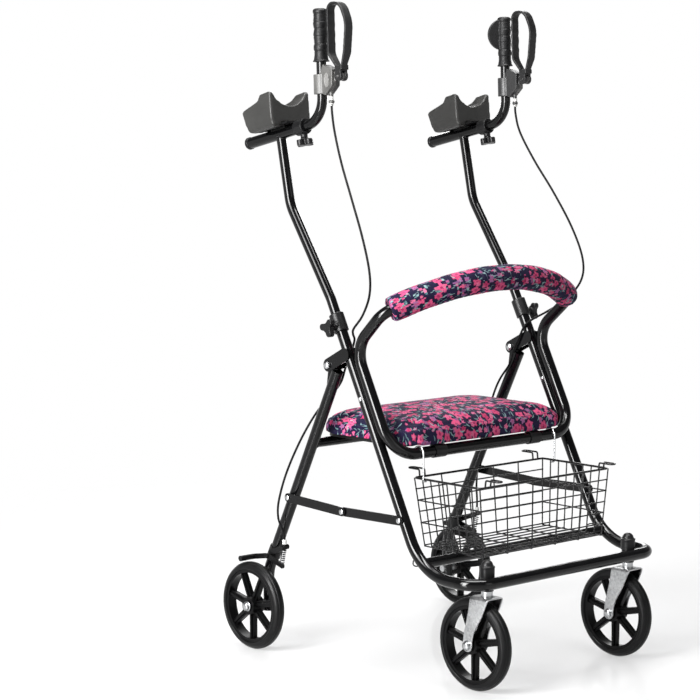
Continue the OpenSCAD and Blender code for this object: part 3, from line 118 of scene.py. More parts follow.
# Node trees
class Wiring:
    """Adds the nodes of one tree and joins them."""

    def __init__(self, tree):
        self.tree = tree

    def join(self, source, target):
        self.tree.links.new(source, target)

    def add(self, kind, feeds=None, **settings):
        node = self.tree.nodes.new(kind)
        for key, value in settings.items():
            setattr(node, key, value)
        for key, value in (feeds or {}).items():
            if isinstance(value, bpy.types.NodeSocket):
                self.join(value, node.inputs[key])
            else:
                node.inputs[key].default_value = value
        return node

    def out(self, kind, feeds=None, **settings):
        """First output of a new node."""
        return self.add(kind, feeds, **settings).outputs[0]

    def group(self, tree, **feeds):
        return self.add("ShaderNodeGroup", feeds, node_tree=tree).outputs

    def math(self, operation, *values):
        return self.out("ShaderNodeMath", dict(enumerate(values)), operation=operation)

    def plus(self, a, b):
        return self.math("ADD", a, b)

    def times(self, a, b):
        return self.math("MULTIPLY", a, b)

    def vector(self, operation, *values):
        return self.out("ShaderNodeVectorMath", dict(enumerate(values)), operation=operation)

    def noise(self, where, scale, detail=2.0, roughness=0.5):
        feeds = {"Vector": where, "Scale": scale, "Detail": detail, "Roughness": roughness}
        return self.out("ShaderNodeTexNoise", feeds)

    def ramp(self, value, low, high, to_low=0.0, to_high=1.0):
        feeds = {0: value, 1: low, 2: high, 3: to_low, 4: to_high}
        return self.out("ShaderNodeMapRange", feeds, interpolation_type="SMOOTHSTEP")

    def blend(self, share, a, b):
        return self.add("ShaderNodeMix", {0: share, 6: a, 7: b}, data_type="RGBA").outputs[2]


def tree_group(name, kind, takes, gives):
    """A node group with named sockets, its wiring, and the sockets on both of its ends."""
    group = bpy.data.node_groups.new(name, kind)
    for label, socket, value in takes:
        made = group.interface.new_socket(label, in_out="INPUT", socket_type=socket)
        if value is not None:
            made.default_value = value
    for label, socket in gives:
        group.interface.new_socket(label, in_out="OUTPUT", socket_type=socket)
    w = Wiring(group)
    return group, w, w.add("NodeGroupInput").outputs, w.add("NodeGroupOutput").inputs


VEC, NUM, INT = "NodeSocketVector", "NodeSocketFloat", "NodeSocketInt"
FULL_TURN = 6.283


def shader_group(name, gives, **takes):
    """A shader group that takes a place and named values, and gives named values."""
    sockets = [("Vector", VEC, None)] + [(n, VEC if v is None else NUM, v) for n, v in takes.items()]
    return tree_group(name, "ShaderNodeTree", sockets, [(n, NUM) for n in gives])


def make_grain():
    """Fine moulded or sprayed grain, with slow blotches of tone over it."""
    group, w, takes, gives = shader_group("surface_grain", ("Height", "Tone"), Grain=900.0, Blotch=14.0)
    fine = w.noise(takes["Vector"], takes["Grain"], detail=3.0, roughness=0.6)
    slow = w.noise(takes["Vector"], takes["Blotch"], detail=4.0, roughness=0.6)
    w.join(fine, gives["Height"])
    w.join(w.ramp(slow, 0.3, 0.7), gives["Tone"])
    return group


def make_scuffs():
    """Thin rubbed lines in patches."""
    group, w, takes, gives = shader_group("rubbed_scuffs", ("Mask",), Size=60.0, Amount=0.5)
    turned = w.out("ShaderNodeMapping", {"Vector": takes["Vector"], "Rotation": (0.5, 0.3, 0.7), "Scale": (1, 7, 1)})
    lines = w.noise(turned, takes["Size"], roughness=0.7)
    thin = w.ramp(w.math("ABSOLUTE", w.math("SUBTRACT", lines, 0.5)), 0.012, 0.0)
    patches = w.ramp(w.noise(takes["Vector"], 9.0), 0.52, 0.68)
    mask = w.times(w.times(thin, patches), takes["Amount"])
    w.join(mask, gives["Mask"])
    return group


def make_dust():
    """Pale dust that settles in patches on faces that look up."""
    group, w, takes, gives = shader_group("settled_dust", ("Mask",), Facing=None, Amount=0.3)
    up = w.add("ShaderNodeSeparateXYZ", {0: takes["Facing"]}).outputs[2]
    patches = w.ramp(w.noise(takes["Vector"], 35.0, detail=6.0, roughness=0.7), 0.4, 0.75)
    specks = w.ramp(w.noise(takes["Vector"], 700.0, detail=1.0), 0.6, 0.75)
    both = w.plus(w.times(patches, 0.6), w.times(specks, 0.5))
    mask = w.times(w.times(both, w.ramp(up, 0.2, 0.95)), takes["Amount"])
    w.join(mask, gives["Mask"])
    return group


def make_weave():
    """Plain weave: threads that pass over and under each other along both ways of the cloth, and a painted shade that
    is low in the dips between them.
    """
    group, w, takes, gives = shader_group("plain_weave", ("Height", "Shade"), Threads=1400.0)
    parts = w.add("ShaderNodeSeparateXYZ", {0: takes["Vector"]}).outputs
    phases = [w.times(w.times(parts[i], takes["Threads"]), math.pi) for i in (0, 1)]
    across, along = (w.math("SINE", p) for p in phases)
    over = w.math("MULTIPLY_ADD", w.times(across, along), 0.5, 0.5)
    warp = w.times(w.math("ABSOLUTE", across), over)
    weft = w.times(w.math("ABSOLUTE", along), w.math("SUBTRACT", 1.0, over))
    height = w.math("MAXIMUM", warp, weft)
    w.join(height, gives["Height"])
    # Shade is painted shade: low in the dips between threads, high on their tops.
    w.join(w.ramp(height, 0.0, 0.9), gives["Shade"])
    return group


def scatter(w, takes, loose):
    """The way from one place in each cell, and three chances that differ from cell to cell."""
    feeds = {"Vector": takes["Vector"], "Scale": takes["Cells"], "Randomness": loose}
    cell = w.add("ShaderNodeTexVoronoi", feeds, voronoi_dimensions="2D").outputs
    chance = w.add("ShaderNodeSeparateColor", {0: cell["Color"]}).outputs
    return w.vector("SUBTRACT", takes["Vector"], cell["Position"]), chance


def make_blossom():
    """Round-petalled blossoms scattered one to a cell, each turned and sized its own way."""
    group, w, takes, gives = shader_group(
        "scattered_blossom", ("Petals", "Heart", "Vein", "Chance"), Cells=26.0, Reach=0.016, Petals=5.0, Share=0.8)
    away, chance = scatter(w, takes, 0.85)
    ragged = w.add("ShaderNodeTexNoise", {"Vector": takes["Vector"], "Scale": 190.0, "Detail": 2.0}).outputs[1]
    bent = w.vector("MULTIPLY_ADD", w.vector("SUBTRACT", ragged, (0.5, 0.5, 0.5)), (0.006,) * 3, away)
    flat = w.add("ShaderNodeSeparateXYZ", {0: bent}).outputs
    turn = w.math("MULTIPLY_ADD", chance[0], FULL_TURN, w.math("ARCTAN2", flat[1], flat[0]))
    lobe = w.math("MULTIPLY_ADD", w.math("COSINE", w.times(turn, takes["Petals"])), 0.18, 0.82)
    size = w.times(takes["Reach"], w.math("MULTIPLY_ADD", chance[1], 0.5, 0.65))
    far = w.math("SQRT", w.plus(w.times(flat[0], flat[0]), w.times(flat[1], flat[1])))
    spread = w.math("DIVIDE", far, w.math("MAXIMUM", w.times(size, lobe), 0.0001))
    here = w.math("LESS_THAN", chance[2], takes["Share"])
    w.join(w.times(w.ramp(spread, 1.0, 0.9), here), gives["Petals"])
    w.join(w.times(w.ramp(spread, 0.34, 0.26), here), gives["Heart"])
    w.join(w.ramp(w.math("COSINE", w.times(turn, w.times(takes["Petals"], 3.0))), 0.2, 1.0), gives["Vein"])
    w.join(chance[1], gives["Chance"])
    return group


def make_leaf():
    """Narrow leaves scattered one to a cell, turned every way."""
    group, w, takes, gives = shader_group(
        "scattered_leaf", ("Leaf", "Rib", "Chance"), Cells=50.0, Length=0.011, Slim=3.2, Share=0.5)
    away, chance = scatter(w, takes, 1.0)
    spun = w.out("ShaderNodeVectorRotate", {"Vector": away, "Angle": w.times(chance[0], FULL_TURN)},
                 rotation_type="Z_AXIS")
    flat = w.add("ShaderNodeSeparateXYZ", {0: spun}).outputs
    curl = w.plus(flat[1], w.times(w.times(flat[0], flat[0]), 38.0))
    wide = w.times(w.math("ABSOLUTE", curl), takes["Slim"])
    far = w.plus(wide, w.math("ABSOLUTE", flat[0]))
    here = w.math("LESS_THAN", chance[2], takes["Share"])
    blade = w.ramp(w.math("DIVIDE", far, takes["Length"]), 1.0, 0.88)
    w.join(w.times(blade, here), gives["Leaf"])
    w.join(w.ramp(w.math("ABSOLUTE", curl), 0.0009, 0.0004), gives["Rib"])
    w.join(chance[1], gives["Chance"])
    return group


GRAIN, SCUFFS, DUST = make_grain(), make_scuffs(), make_dust()
WEAVE, BLOSSOM, LEAF = make_weave(), make_blossom(), make_leaf()


def new_finish(name):
    """A new material, its wiring and its shader."""
    made = bpy.data.materials.new(name)
    made.use_nodes = True
    return made, Wiring(made.node_tree), made.node_tree.nodes["Principled BSDF"]


def set_values(node, **values):
    for key, value in values.items():
        node.inputs[key.replace("_", " ")].default_value = value


WHITE = (1, 1, 1, 1)
DUST_TINT, DUST_ROUGH = (0.42, 0.4, 0.37, 1), 0.4
SPANGLE_CELLS, SPANGLE_ROUGH = 230.0, 0.3


def surface(name, color, rough, grain=900.0, lift=0.0001, spread=0.08, scuff=0.2, dust=0.1, worn=(0.3, 0.3, 0.3),
            tone=0.25, metallic=0.0, spangle=0.0, gleam=0.5):
    """A hard finish with grain, blotches of tone, scuffs and a little dust."""
    made, w, shader = new_finish(name)
    place = w.add("ShaderNodeTexCoord").outputs["Object"]
    facing = w.add("ShaderNodeNewGeometry").outputs["Normal"]
    skin = w.group(GRAIN, Vector=place, Grain=grain)
    lines = w.group(SCUFFS, Vector=place, Amount=scuff)["Mask"]
    dusted = w.group(DUST, Vector=place, Facing=facing, Amount=dust)["Mask"]
    dark = tuple(c * (1 - tone) for c in color) + (1,)
    pale = tuple(min(1, c * (1 + tone)) for c in color) + (1,)
    coat = w.blend(skin["Tone"], dark, pale)
    gloss = w.math("MULTIPLY_ADD", skin["Tone"], spread, rough - spread / 2)
    gloss = w.plus(gloss, w.times(dusted, DUST_ROUGH))
    if spangle:
        cells = w.add("ShaderNodeTexVoronoi", {"Vector": place, "Scale": SPANGLE_CELLS}).outputs["Color"]
        facet = w.out("ShaderNodeSeparateColor", {0: cells})
        coat = w.blend(w.times(facet, spangle), coat, WHITE)
        gloss = w.math("MULTIPLY_ADD", facet, spangle * SPANGLE_ROUGH, gloss)
    coat = w.blend(lines, coat, (*worn, 1))
    w.join(w.blend(dusted, coat, DUST_TINT), shader.inputs["Base Color"])
    w.join(gloss, shader.inputs["Roughness"])
    bump = w.out("ShaderNodeBump", {"Height": skin["Height"], "Strength": 1.0, "Distance": lift})
    w.join(bump, shader.inputs["Normal"])
    set_values(shader, Metallic=metallic, Specular_IOR_Level=gleam)
    return made


# Shift, cells to a metre, length, slimness, share of cells filled, and two tints of the leaves under the blossoms
UNDER_LEAF = ((0.3, 0.1, 0), 74.0, 0.0074, 3.4, 0.5, (0.02, 0.08, 0.1, 1), (0.08, 0.22, 0.25, 1))
# and of those over them
OVER_LEAF = ((0.9, 0.4, 0), 60.0, 0.0098, 5.2, 0.42, (0.09, 0.22, 0.26, 1), (0.32, 0.52, 0.54, 1))
# Shift, cells to a metre, reach, share of cells filled, and deep, light and heart tints of each blossom
BLOSSOMS = (((0.2, 0.7, 0), 52.0, 0.0084, 0.36, (0.16, 0.05, 0.2, 1), (0.42, 0.16, 0.36, 1), (0.5, 0.1, 0.22, 1)),
            ((0.5, 0.2, 0), 38.0, 0.0126, 0.72, (0.58, 0.03, 0.12, 1), (0.9, 0.12, 0.29, 1), (0.42, 0.03, 0.12, 1)),
            ((0.8, 0.9, 0), 60.0, 0.006, 0.4, (0.6, 0.05, 0.18, 1), (0.85, 0.18, 0.36, 1), (0.6, 0.2, 0.26, 1)))
NAVY = ((0.006, 0.0045, 0.022, 1), (0.016, 0.011, 0.052, 1))
# The dark tint for the thread gaps is painted shade, laid where the threads dip.
LEAF_RIB, THREAD_GAP_SHADE, SLUB = (0.5, 0.66, 0.62, 1), (0.004, 0.003, 0.012, 1), (0.2, 0.18, 0.26, 1)


def print_cloth():
    """Navy cotton with red and rose blossoms, mint leaves, a plain weave and painted shade in the dips between its
    threads.
    """
    made, w, shader = new_finish("flower_print_cloth")
    cloth = w.out("ShaderNodeUVMap", uv_map="cloth")
    drift = w.add("ShaderNodeTexNoise", {"Vector": cloth, "Scale": 11.0}).outputs[1]
    where = w.vector("MULTIPLY_ADD", drift, (0.02,) * 3, cloth)

    def scattered(tree, shift, **values):
        return w.group(tree, Vector=w.vector("ADD", where, shift), **values)

    def leaves(under, shift, cells, length, slim, share, tint, other):
        leaf = scattered(LEAF, shift, Cells=cells, Length=length, Slim=slim, Share=share)
        shade = w.blend(leaf["Chance"], tint, other)
        shade = w.blend(w.times(leaf["Rib"], 0.4), shade, LEAF_RIB)
        return w.blend(leaf["Leaf"], under, shade)

    color = w.blend(w.noise(cloth, 30.0, detail=3.0), *NAVY)
    color = leaves(color, *UNDER_LEAF)
    for shift, cells, reach, share, deep, light, heart in BLOSSOMS:
        flower = scattered(BLOSSOM, shift, Cells=cells, Reach=reach, Share=share)
        petal = w.blend(flower["Chance"], deep, light)
        petal = w.blend(w.times(flower["Vein"], 0.3), petal, tuple(min(1, 1.5 * c) for c in light))
        petal = w.blend(flower["Heart"], petal, heart)
        color = w.blend(flower["Petals"], color, petal)
    color = leaves(color, *OVER_LEAF)
    threads = w.group(WEAVE, Vector=cloth, Threads=1500.0)
    slub = w.noise(w.vector("MULTIPLY", cloth, (900.0, 40.0, 1.0)), 1.0)
    # Painted shade: up to 0.3 of a dark tint in the dips between threads.
    color = w.blend(w.math("MULTIPLY_ADD", threads["Shade"], -0.3, 0.3), color, THREAD_GAP_SHADE)
    color = w.blend(w.ramp(slub, 0.55, 0.9, 0.0, 0.16), color, SLUB)
    w.join(color, shader.inputs["Base Color"])
    rub = w.noise(cloth, 24.0, detail=4.0)
    w.join(w.math("MULTIPLY_ADD", rub, 0.2, 0.68), shader.inputs["Roughness"])
    puckers = w.out("ShaderNodeBump", {"Height": rub, "Strength": 0.5, "Distance": 0.004})
    threading = {"Height": threads["Height"], "Strength": 0.7, "Distance": 0.0003, "Normal": puckers}
    w.join(w.out("ShaderNodeBump", threading), shader.inputs["Normal"])
    set_values(shader, Sheen_Weight=0.02, Sheen_Roughness=0.5, Specular_IOR_Level=0.08)
    return made


def cover_plastic():
    """Two-shell moulding: a grey outer cover and a black inner one that meet on the handle's middle plane."""
    made = surface("housing_shells", (0.086, 0.0847, 0.081), 0.45, grain=1100.0, lift=0.00012, scuff=0.15)
    w = Wiring(made.node_tree)
    shader = made.node_tree.nodes["Principled BSDF"]
    grey = shader.inputs["Base Color"].links[0].from_socket
    x = w.out("ShaderNodeSeparateXYZ", {0: w.add("ShaderNodeTexCoord").outputs["Object"]})
    split, blur, black = (LEG_X - 0.6) * MM, 0.0008, (0.013, 0.013, 0.0135, 1)
    shell = w.blend(w.ramp(w.math("ABSOLUTE", x), split, split + blur), black, grey)
    w.join(shell, shader.inputs["Base Color"])
    return made


FINISH = {
    "frame_black": surface("gloss_black_coat", (0.003, 0.003, 0.0034), 0.12, grain=420.0, lift=0.00002, spread=0.05,
                           scuff=0.1, dust=0.02, worn=(0.03, 0.03, 0.033), gleam=0.24),
    "print_fabric": print_cloth(),
    "black_plastic": surface("moulded_black_plastic", (0.007, 0.007, 0.0075), 0.36, grain=1300.0, lift=0.00012,
                             worn=(0.07, 0.07, 0.07), gleam=0.2),
    "black_steel": surface("black_coated_steel", (0.005, 0.005, 0.0054), 0.3, grain=700.0, lift=0.00006,
                           worn=(0.14, 0.14, 0.14), scuff=0.3, gleam=0.17),
    "zinc_hardware": surface("bright_zinc_plate", (0.42, 0.427, 0.434), 0.27, grain=600.0, lift=0.00003, tone=0.1,
                             metallic=1.0, worn=(0.45, 0.45, 0.45)),
    "zinc_fork": surface("spangled_zinc_pressing", (0.3, 0.305, 0.31), 0.3, grain=350.0, lift=0.00005, tone=0.2,
                         metallic=1.0, spangle=0.22, worn=(0.24, 0.24, 0.25), scuff=0.5),
    "dark_spring": surface("oiled_spring_wire", (0.05, 0.05, 0.053), 0.35, lift=0.00003, metallic=1.0),
    "board": surface("black_moulded_board", (0.006, 0.006, 0.0064), 0.36, grain=800.0, gleam=0.2),
    "wheel_plastic": surface("black_nylon_wheel", (0.0028, 0.0028, 0.003), 0.36, grain=1000.0, dust=0.02,
                             worn=(0.04, 0.04, 0.04), gleam=0.1),
    "tyre_rubber": surface("solid_black_tyre", (0.0042, 0.0042, 0.0045), 0.36, grain=500.0, lift=0.00018, spread=0.12,
                           dust=0.04, worn=(0.04, 0.04, 0.04), gleam=0.14),
    "trough_foam": surface("skinned_grey_foam", (0.036, 0.0357, 0.034), 0.38, grain=1500.0, lift=0.00022, spread=0.1,
                           tone=0.1, scuff=0.08, worn=(0.1, 0.1, 0.1), gleam=0.26),
    "grip_rubber": surface("soft_black_grip", (0.0065, 0.0065, 0.007), 0.44, grain=1600.0, lift=0.0002,
                           worn=(0.05, 0.05, 0.05), gleam=0.2),
    "housing_grey": cover_plastic(),
    "lever_black": surface("black_lever_plastic", (0.016, 0.016, 0.0165), 0.42, grain=1200.0,
                           worn=(0.08, 0.08, 0.08), gleam=0.2),
    "cable_black": surface("black_cable_sheath", (0.005, 0.005, 0.0054), 0.52, lift=0.00004, gleam=0.08),
    "basket_wire": surface("black_coated_wire", (0.006, 0.006, 0.0065), 0.28, lift=0.00004, scuff=0.1,
                           gleam=0.28),
}
THREAD = surface("navy_thread", (0.03, 0.025, 0.08), 0.7, grain=2200.0, scuff=0.0)
OVAL = surface("pale_oval_plate", (0.2, 0.197, 0.19), 0.4, grain=1100.0, lift=0.00008, tone=0.08, scuff=0.1)
ADJUSTER = surface("pale_adjuster_plastic", (0.72, 0.72, 0.7), 0.45, grain=1000.0, lift=0.00008, tone=0.1, scuff=0.1)

for name, node in NODES.items():
    node.data.materials.clear()
    node.data.materials.append(FINISH[SLOT_OF[name]])


# Meshes
def new_piece(name, points, faces, finish=None, edges=()):
    mesh = bpy.data.meshes.new(name)
    mesh.from_pydata([tuple(p) for p in points], list(edges), faces)
    mesh.update()
    obj = bpy.data.objects.new(name, mesh)
    scene.collection.objects.link(obj)
    if finish:
        mesh.materials.append(FINISH[finish])
    mesh.polygons.foreach_set("use_smooth", [True] * len(mesh.polygons))
    return obj


def settle(obj):
    """Keeps what the modifiers make as the object's own plain mesh."""
    made = bpy.data.meshes.new_from_object(obj.evaluated_get(bpy.context.evaluated_depsgraph_get()))
    old = obj.data
    obj.modifiers.clear()
    obj.data = made
    bpy.data.meshes.remove(old)
    made.polygons.foreach_set("use_smooth", [True] * len(made.polygons))


def seated(obj, body, slot, *nodes):
    """Lets a finished piece ride on a body and stand for CAD nodes."""
    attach(obj, body)
    if nodes:
        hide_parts(*nodes)


def points_of(obj):
    flat = np.zeros(len(obj.data.vertices) * 3)
    obj.data.vertices.foreach_get("co", flat)
    return flat.reshape(-1, 3)


def set_points(obj, points):
    obj.data.vertices.foreach_set("co", np.asarray(points, float).ravel())
    obj.data.update()


def rounded_path(corners, radii, steps):
    """Points along a line of corners, with an arc at each inner one."""
    line = [Vector(corners[0])]
    for a, b, c, r in zip(corners, corners[1:], corners[2:], radii):
        u, v = (Vector(b) - Vector(a)).normalized(), (Vector(c) - Vector(b)).normalized()
        turn = math.acos(max(-1, min(1, u.dot(v))))
        inward = (v - u * u.dot(v)).normalized()
        middle = Vector(b) - u * r * math.tan(turn / 2) + inward * r
        for i in range(steps + 1):
            angle = turn * i / steps
            line.append(middle + (u * math.sin(angle) - inward * math.cos(angle)) * r)
    return line + [Vector(corners[-1])]


def resampled(line, spacing):
    """The same line with points at even distances."""
    line = np.array([tuple(p) for p in line])
    run = np.concatenate([[0], np.cumsum(np.linalg.norm(np.diff(line, axis=0), axis=1))])
    count = max(2, int(round(run[-1] / spacing)) + 1)
    where = np.linspace(0, run[-1], count)
    return np.stack([np.interp(where, run, line[:, i]) for i in range(3)], 1)


def smooth_line(points, steps):
    """A smooth line through points, with a few steps between each pair."""
    p = np.array([tuple(q) for q in points])
    last = len(p) - 1
    line = []
    for i in range(last):
        a, b, c, d = p[max(i - 1, 0)], p[i], p[i + 1], p[min(i + 2, last)]
        for t in np.arange(steps) / steps:
            square, cube = (2 * a - 5 * b + 4 * c - d) * t**2, (3 * b - a - 3 * c + d) * t**3
            line.append((2 * b + (c - a) * t + square + cube) / 2)
    return np.array(line + [p[last]])


def carried_frames(line):
    """Two directions across a line at each of its points, carried along without twist."""
    tangents = np.gradient(line, axis=0)
    tangents /= np.linalg.norm(tangents, axis=1)[:, None]
    first = np.cross(tangents[0], (0.0, 0.0, 1.0) if abs(tangents[0][2]) < 0.9 else (1.0, 0.0, 0.0))
    e = [first / np.linalg.norm(first)]
    for t in tangents[1:]:
        n = e[-1] - t * np.dot(e[-1], t)
        e.append(n / np.linalg.norm(n))
    e = np.array(e)
    return e, np.cross(tangents, e)


def round_angles(count):
    return np.arange(count) * 2 * math.pi / count


def wall_faces(rows, count, caps=True):
    """Faces between closed rings of points, one row after another, and over both ends."""
    faces = [(i * count + k, i * count + (k + 1) % count, (i + 1) * count + (k + 1) % count, (i + 1) * count + k)
             for i in range(rows - 1) for k in range(count)]
    if caps:
        faces += [tuple(range(count - 1, -1, -1)), tuple(range((rows - 1) * count, rows * count))]
    return faces


def tube_mesh(line, radii, sides, caps=True):
    """Points and faces of a round tube along a line."""
    e, f = carried_frames(line)
    turn = round_angles(sides)[None, :, None]
    radii = np.broadcast_to(np.asarray(radii, float), (len(line),))[:, None, None]
    points = line[:, None] + (e[:, None] * np.cos(turn) + f[:, None] * np.sin(turn)) * radii
    return points.reshape(-1, 3), wall_faces(len(line), sides, caps)


def lathe_mesh(profile, steps, frame_of):
    """Points and faces of a closed outline of radius and height, turned round the z axis of a frame."""
    points = [frame_of @ Vector((r * math.cos(a), r * math.sin(a), h)) for a in round_angles(steps) for r, h in profile]
    n = len(profile)
    faces = [(i * n + k, ((i + 1) % steps) * n + k, ((i + 1) % steps) * n + (k + 1) % n, i * n + (k + 1) % n)
             for i in range(steps) for k in range(n)]
    return points, faces


def evened(obj, voxel):
    """Gives a piece a skin of even faces."""
    even = obj.modifiers.new("even", "REMESH")
    even.mode = "VOXEL"
    even.voxel_size = voxel


def softened(node, voxel, rounds, finish):
    """A copy of a hard CAD solid with its edges rounded, to stand for it."""
    obj = bpy.data.objects.new(node + "_moulded", NODES[node].data.copy())
    scene.collection.objects.link(obj)
    shell = bmesh.new()
    shell.from_mesh(obj.data)
    bmesh.ops.remove_doubles(shell, verts=shell.verts, dist=1e-6)
    shell.to_mesh(obj.data)
    shell.free()
    evened(obj, voxel)
    ease = obj.modifiers.new("ease", "SMOOTH")
    ease.factor = 0.5
    ease.iterations = rounds
    settle(obj)
    obj.data.materials.clear()
    obj.data.materials.append(FINISH[finish])
    return obj


def rise(v, low, span):
    """From 0 at low to 1 a span above it."""
    return np.clip((v - low) / span, 0, 1)


def fall(v, high, span):
    """From 1 a span below high to 0 at it."""
    return np.clip((high - v) / span, 0, 1)


def bell(v, middle, width):
    return np.exp(-((v - middle) / width) ** 2)


# Camera, as the photograph was taken
CAMERA_AT = (-3.4310, -3.4393, 1.1944)
AZIMUTH, ELEVATION = math.radians(-42.227), math.radians(6.006)
FOCAL, PICTURE, SENSOR = 2167.27, 700, 36
lens = bpy.data.cameras.new("camera")
lens.sensor_width = SENSOR
lens.lens = FOCAL / PICTURE * SENSOR
camera = bpy.data.objects.new("camera", lens)
scene.collection.objects.link(camera)
camera.location = CAMERA_AT
look = Vector((-math.sin(AZIMUTH) * math.cos(ELEVATION), math.cos(AZIMUTH) * math.cos(ELEVATION),
               -math.sin(ELEVATION)))
camera.rotation_mode = "QUATERNION"
camera.rotation_quaternion = look.to_track_quat("-Z", "Y")
scene.camera = camera

# Brake cables, each in three lengths along the handle, the arm and the folding frame
CABLE_D, CABLE_SIDES, CABLE_STEPS = 5, 14, 8
CABLE_ROUTE = [(288, 217, 1236), (288, 219, 1212), (291, 231, 1170), (303, 266, 1105), (318, 315, 1030),
               (330, 362, 950), (336, 390, 880), (334, 388, 830), (322, 354, 785), (304, 306, 752), (288, 286, 738),
               (271, 272, 722), (267, 255, 690), (267, 239, 660), (268, 224, 625), (272, 192, 590), (284, 160, 552),
               (298, 124, 490), (310, 90, 415), (318, 72, 350), (318, 69, 310), (312, 77, 280), (*BRAKE_END, 263),
               (*BRAKE_END, 256)]
CABLE_CUTS = (1105, 722)
# Each length's name, the bodies it goes between, and where its bend starts and ends
CABLE_BENDS = (("upper", "handle_{}", "arm_{}", (288, 219, 1215), (301, 258, 1120)),
               ("middle", "arm_{}", "front_frame", (314, 302, 1050), (322, 354, 785)),
               ("lower", "front_frame", "rear_frame", (267, 255, 690), (284, 160, 552)))


def cable_pieces():
    cuts = [i * CABLE_STEPS for z in CABLE_CUTS for i, q in enumerate(CABLE_ROUTE) if q[2] == z]
    for side, sign in SIDES:
        line = smooth_line([mirrored(at(*q), sign) for q in CABLE_ROUTE], CABLE_STEPS)
        ends = [0, *cuts, len(line) - 1]
        for (part, a, b, start, end), i, j in zip(CABLE_BENDS, ends, ends[1:]):
            stretch = line[i:j + 1]
            points, faces = tube_mesh(stretch, CABLE_D / 2 * MM, CABLE_SIDES, caps=part != "middle")
            obj = new_piece(f"cable_{part}_{side}", points, faces, "cable_black")
            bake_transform(obj)
            if part == "upper":
                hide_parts(f"brake_cable_{side}")


cable_pieces()


# Soft pieces
SWELL_FRAMES, CLOTH_TENSION, CLOTH_BENDING = 20, 12, 0.4


def cloth_map(obj, coords):
    """Gives the piece the map called cloth, in metres along the fabric, from a place for each of its points."""
    corners = np.zeros(len(obj.data.loops), int)
    obj.data.loops.foreach_get("vertex_index", corners)
    layer = obj.data.uv_layers.new(name="cloth")
    layer.data.foreach_set("uv", coords[corners].ravel())
    return corners, layer


def puffed(obj, voxel, pressure, cap, held):
    """Swells a closed pad as cloth under pressure, with some of its points held, and keeps the result."""
    evened(obj, voxel)
    settle(obj)
    start = points_of(obj)
    obj.vertex_groups.new(name="held").add([int(i) for i in np.nonzero(held(start))[0]], 1.0, "REPLACE")
    cloth = obj.modifiers.new("swell", "CLOTH")
    cloth.settings.use_pressure = True
    cloth.settings.uniform_pressure_force = pressure
    cloth.settings.vertex_group_mass = "held"
    cloth.settings.effector_weights.gravity = 0
    cloth.settings.tension_stiffness = CLOTH_TENSION
    cloth.settings.bending_stiffness = CLOTH_BENDING
    cloth.point_cache.frame_start, cloth.point_cache.frame_end = 1, SWELL_FRAMES
    for step in range(1, SWELL_FRAMES + 1):
        scene.frame_set(step)
    swollen = obj.evaluated_get(bpy.context.evaluated_depsgraph_get())
    move = points_of(swollen) - start
    far = np.linalg.norm(move, axis=1)
    obj.modifiers.clear()
    obj.vertex_groups.clear()
    set_points(obj, start + move * np.minimum(1, cap / np.maximum(far, 1e-9))[:, None])
    scene.frame_set(1)
    finer = obj.modifiers.new("finer", "SUBSURF")
    finer.levels = finer.render_levels = 1
    settle(obj)


SEAT_W, SEAT_DEEP, SEAT_R, SEAT_T, SEAT_CROWN = 516, 304, 52, 35, 19
SEAT_LOW = 506.6
SEAT_FWD = SEAT_BAR[0] + 16 - SEAT_DEEP / 2
SEAM_IN = 17
# The cover hangs this far over the board, outside these distances from the cushion's outline and middle
SEAT_LIP, BOARD_IN, BOARD_FRONT = 8, 9, SEAT_DEEP / 2 - 36
# and less where the basket's wire loops go round the seat bar
LOOP_X, LOOP_LIFT = 214, 3
# Depth of the seam, of the sat-in middle and of the puckers beside the seam, and how many puckers go round
SEAM_DIP, SEAT_SAG, PUCKER, PUCKERS = 2.2, 2.0, 0.4, 46


def seat_edge(x, y):
    """Distance outside the cushion's outline, and the way out, both from its middle, in millimetres."""
    qx, qy = np.abs(x) - (SEAT_W / 2 - SEAT_R), np.abs(y) - (SEAT_DEEP / 2 - SEAT_R)
    ox, oy = np.maximum(qx, 0), np.maximum(qy, 0)
    corner = np.hypot(ox, oy)
    out = corner + np.minimum(np.maximum(qx, qy), 0) - SEAT_R
    nx, ny = np.where(corner > 0, ox, qx >= qy), np.where(corner > 0, oy, qy > qx)
    size = np.maximum(np.hypot(nx, ny), 1e-9)
    return out, np.sign(x) * nx / size, np.sign(y) * ny / size


def seat_outline(inset, count):
    """Places round the cushion, this far inside its outline, from its middle, with this many on each corner."""
    r, line = SEAT_R - inset, []
    for q, (sx, sy) in enumerate(((1, 1), (-1, 1), (-1, -1), (1, -1))):
        for i in range(count):
            a = math.radians(90 * q + 90 * i / (count - 1))
            line.append((sx * (SEAT_W / 2 - SEAT_R) + r * math.cos(a), sy * (SEAT_DEEP / 2 - SEAT_R) + r * math.sin(a)))
    return line


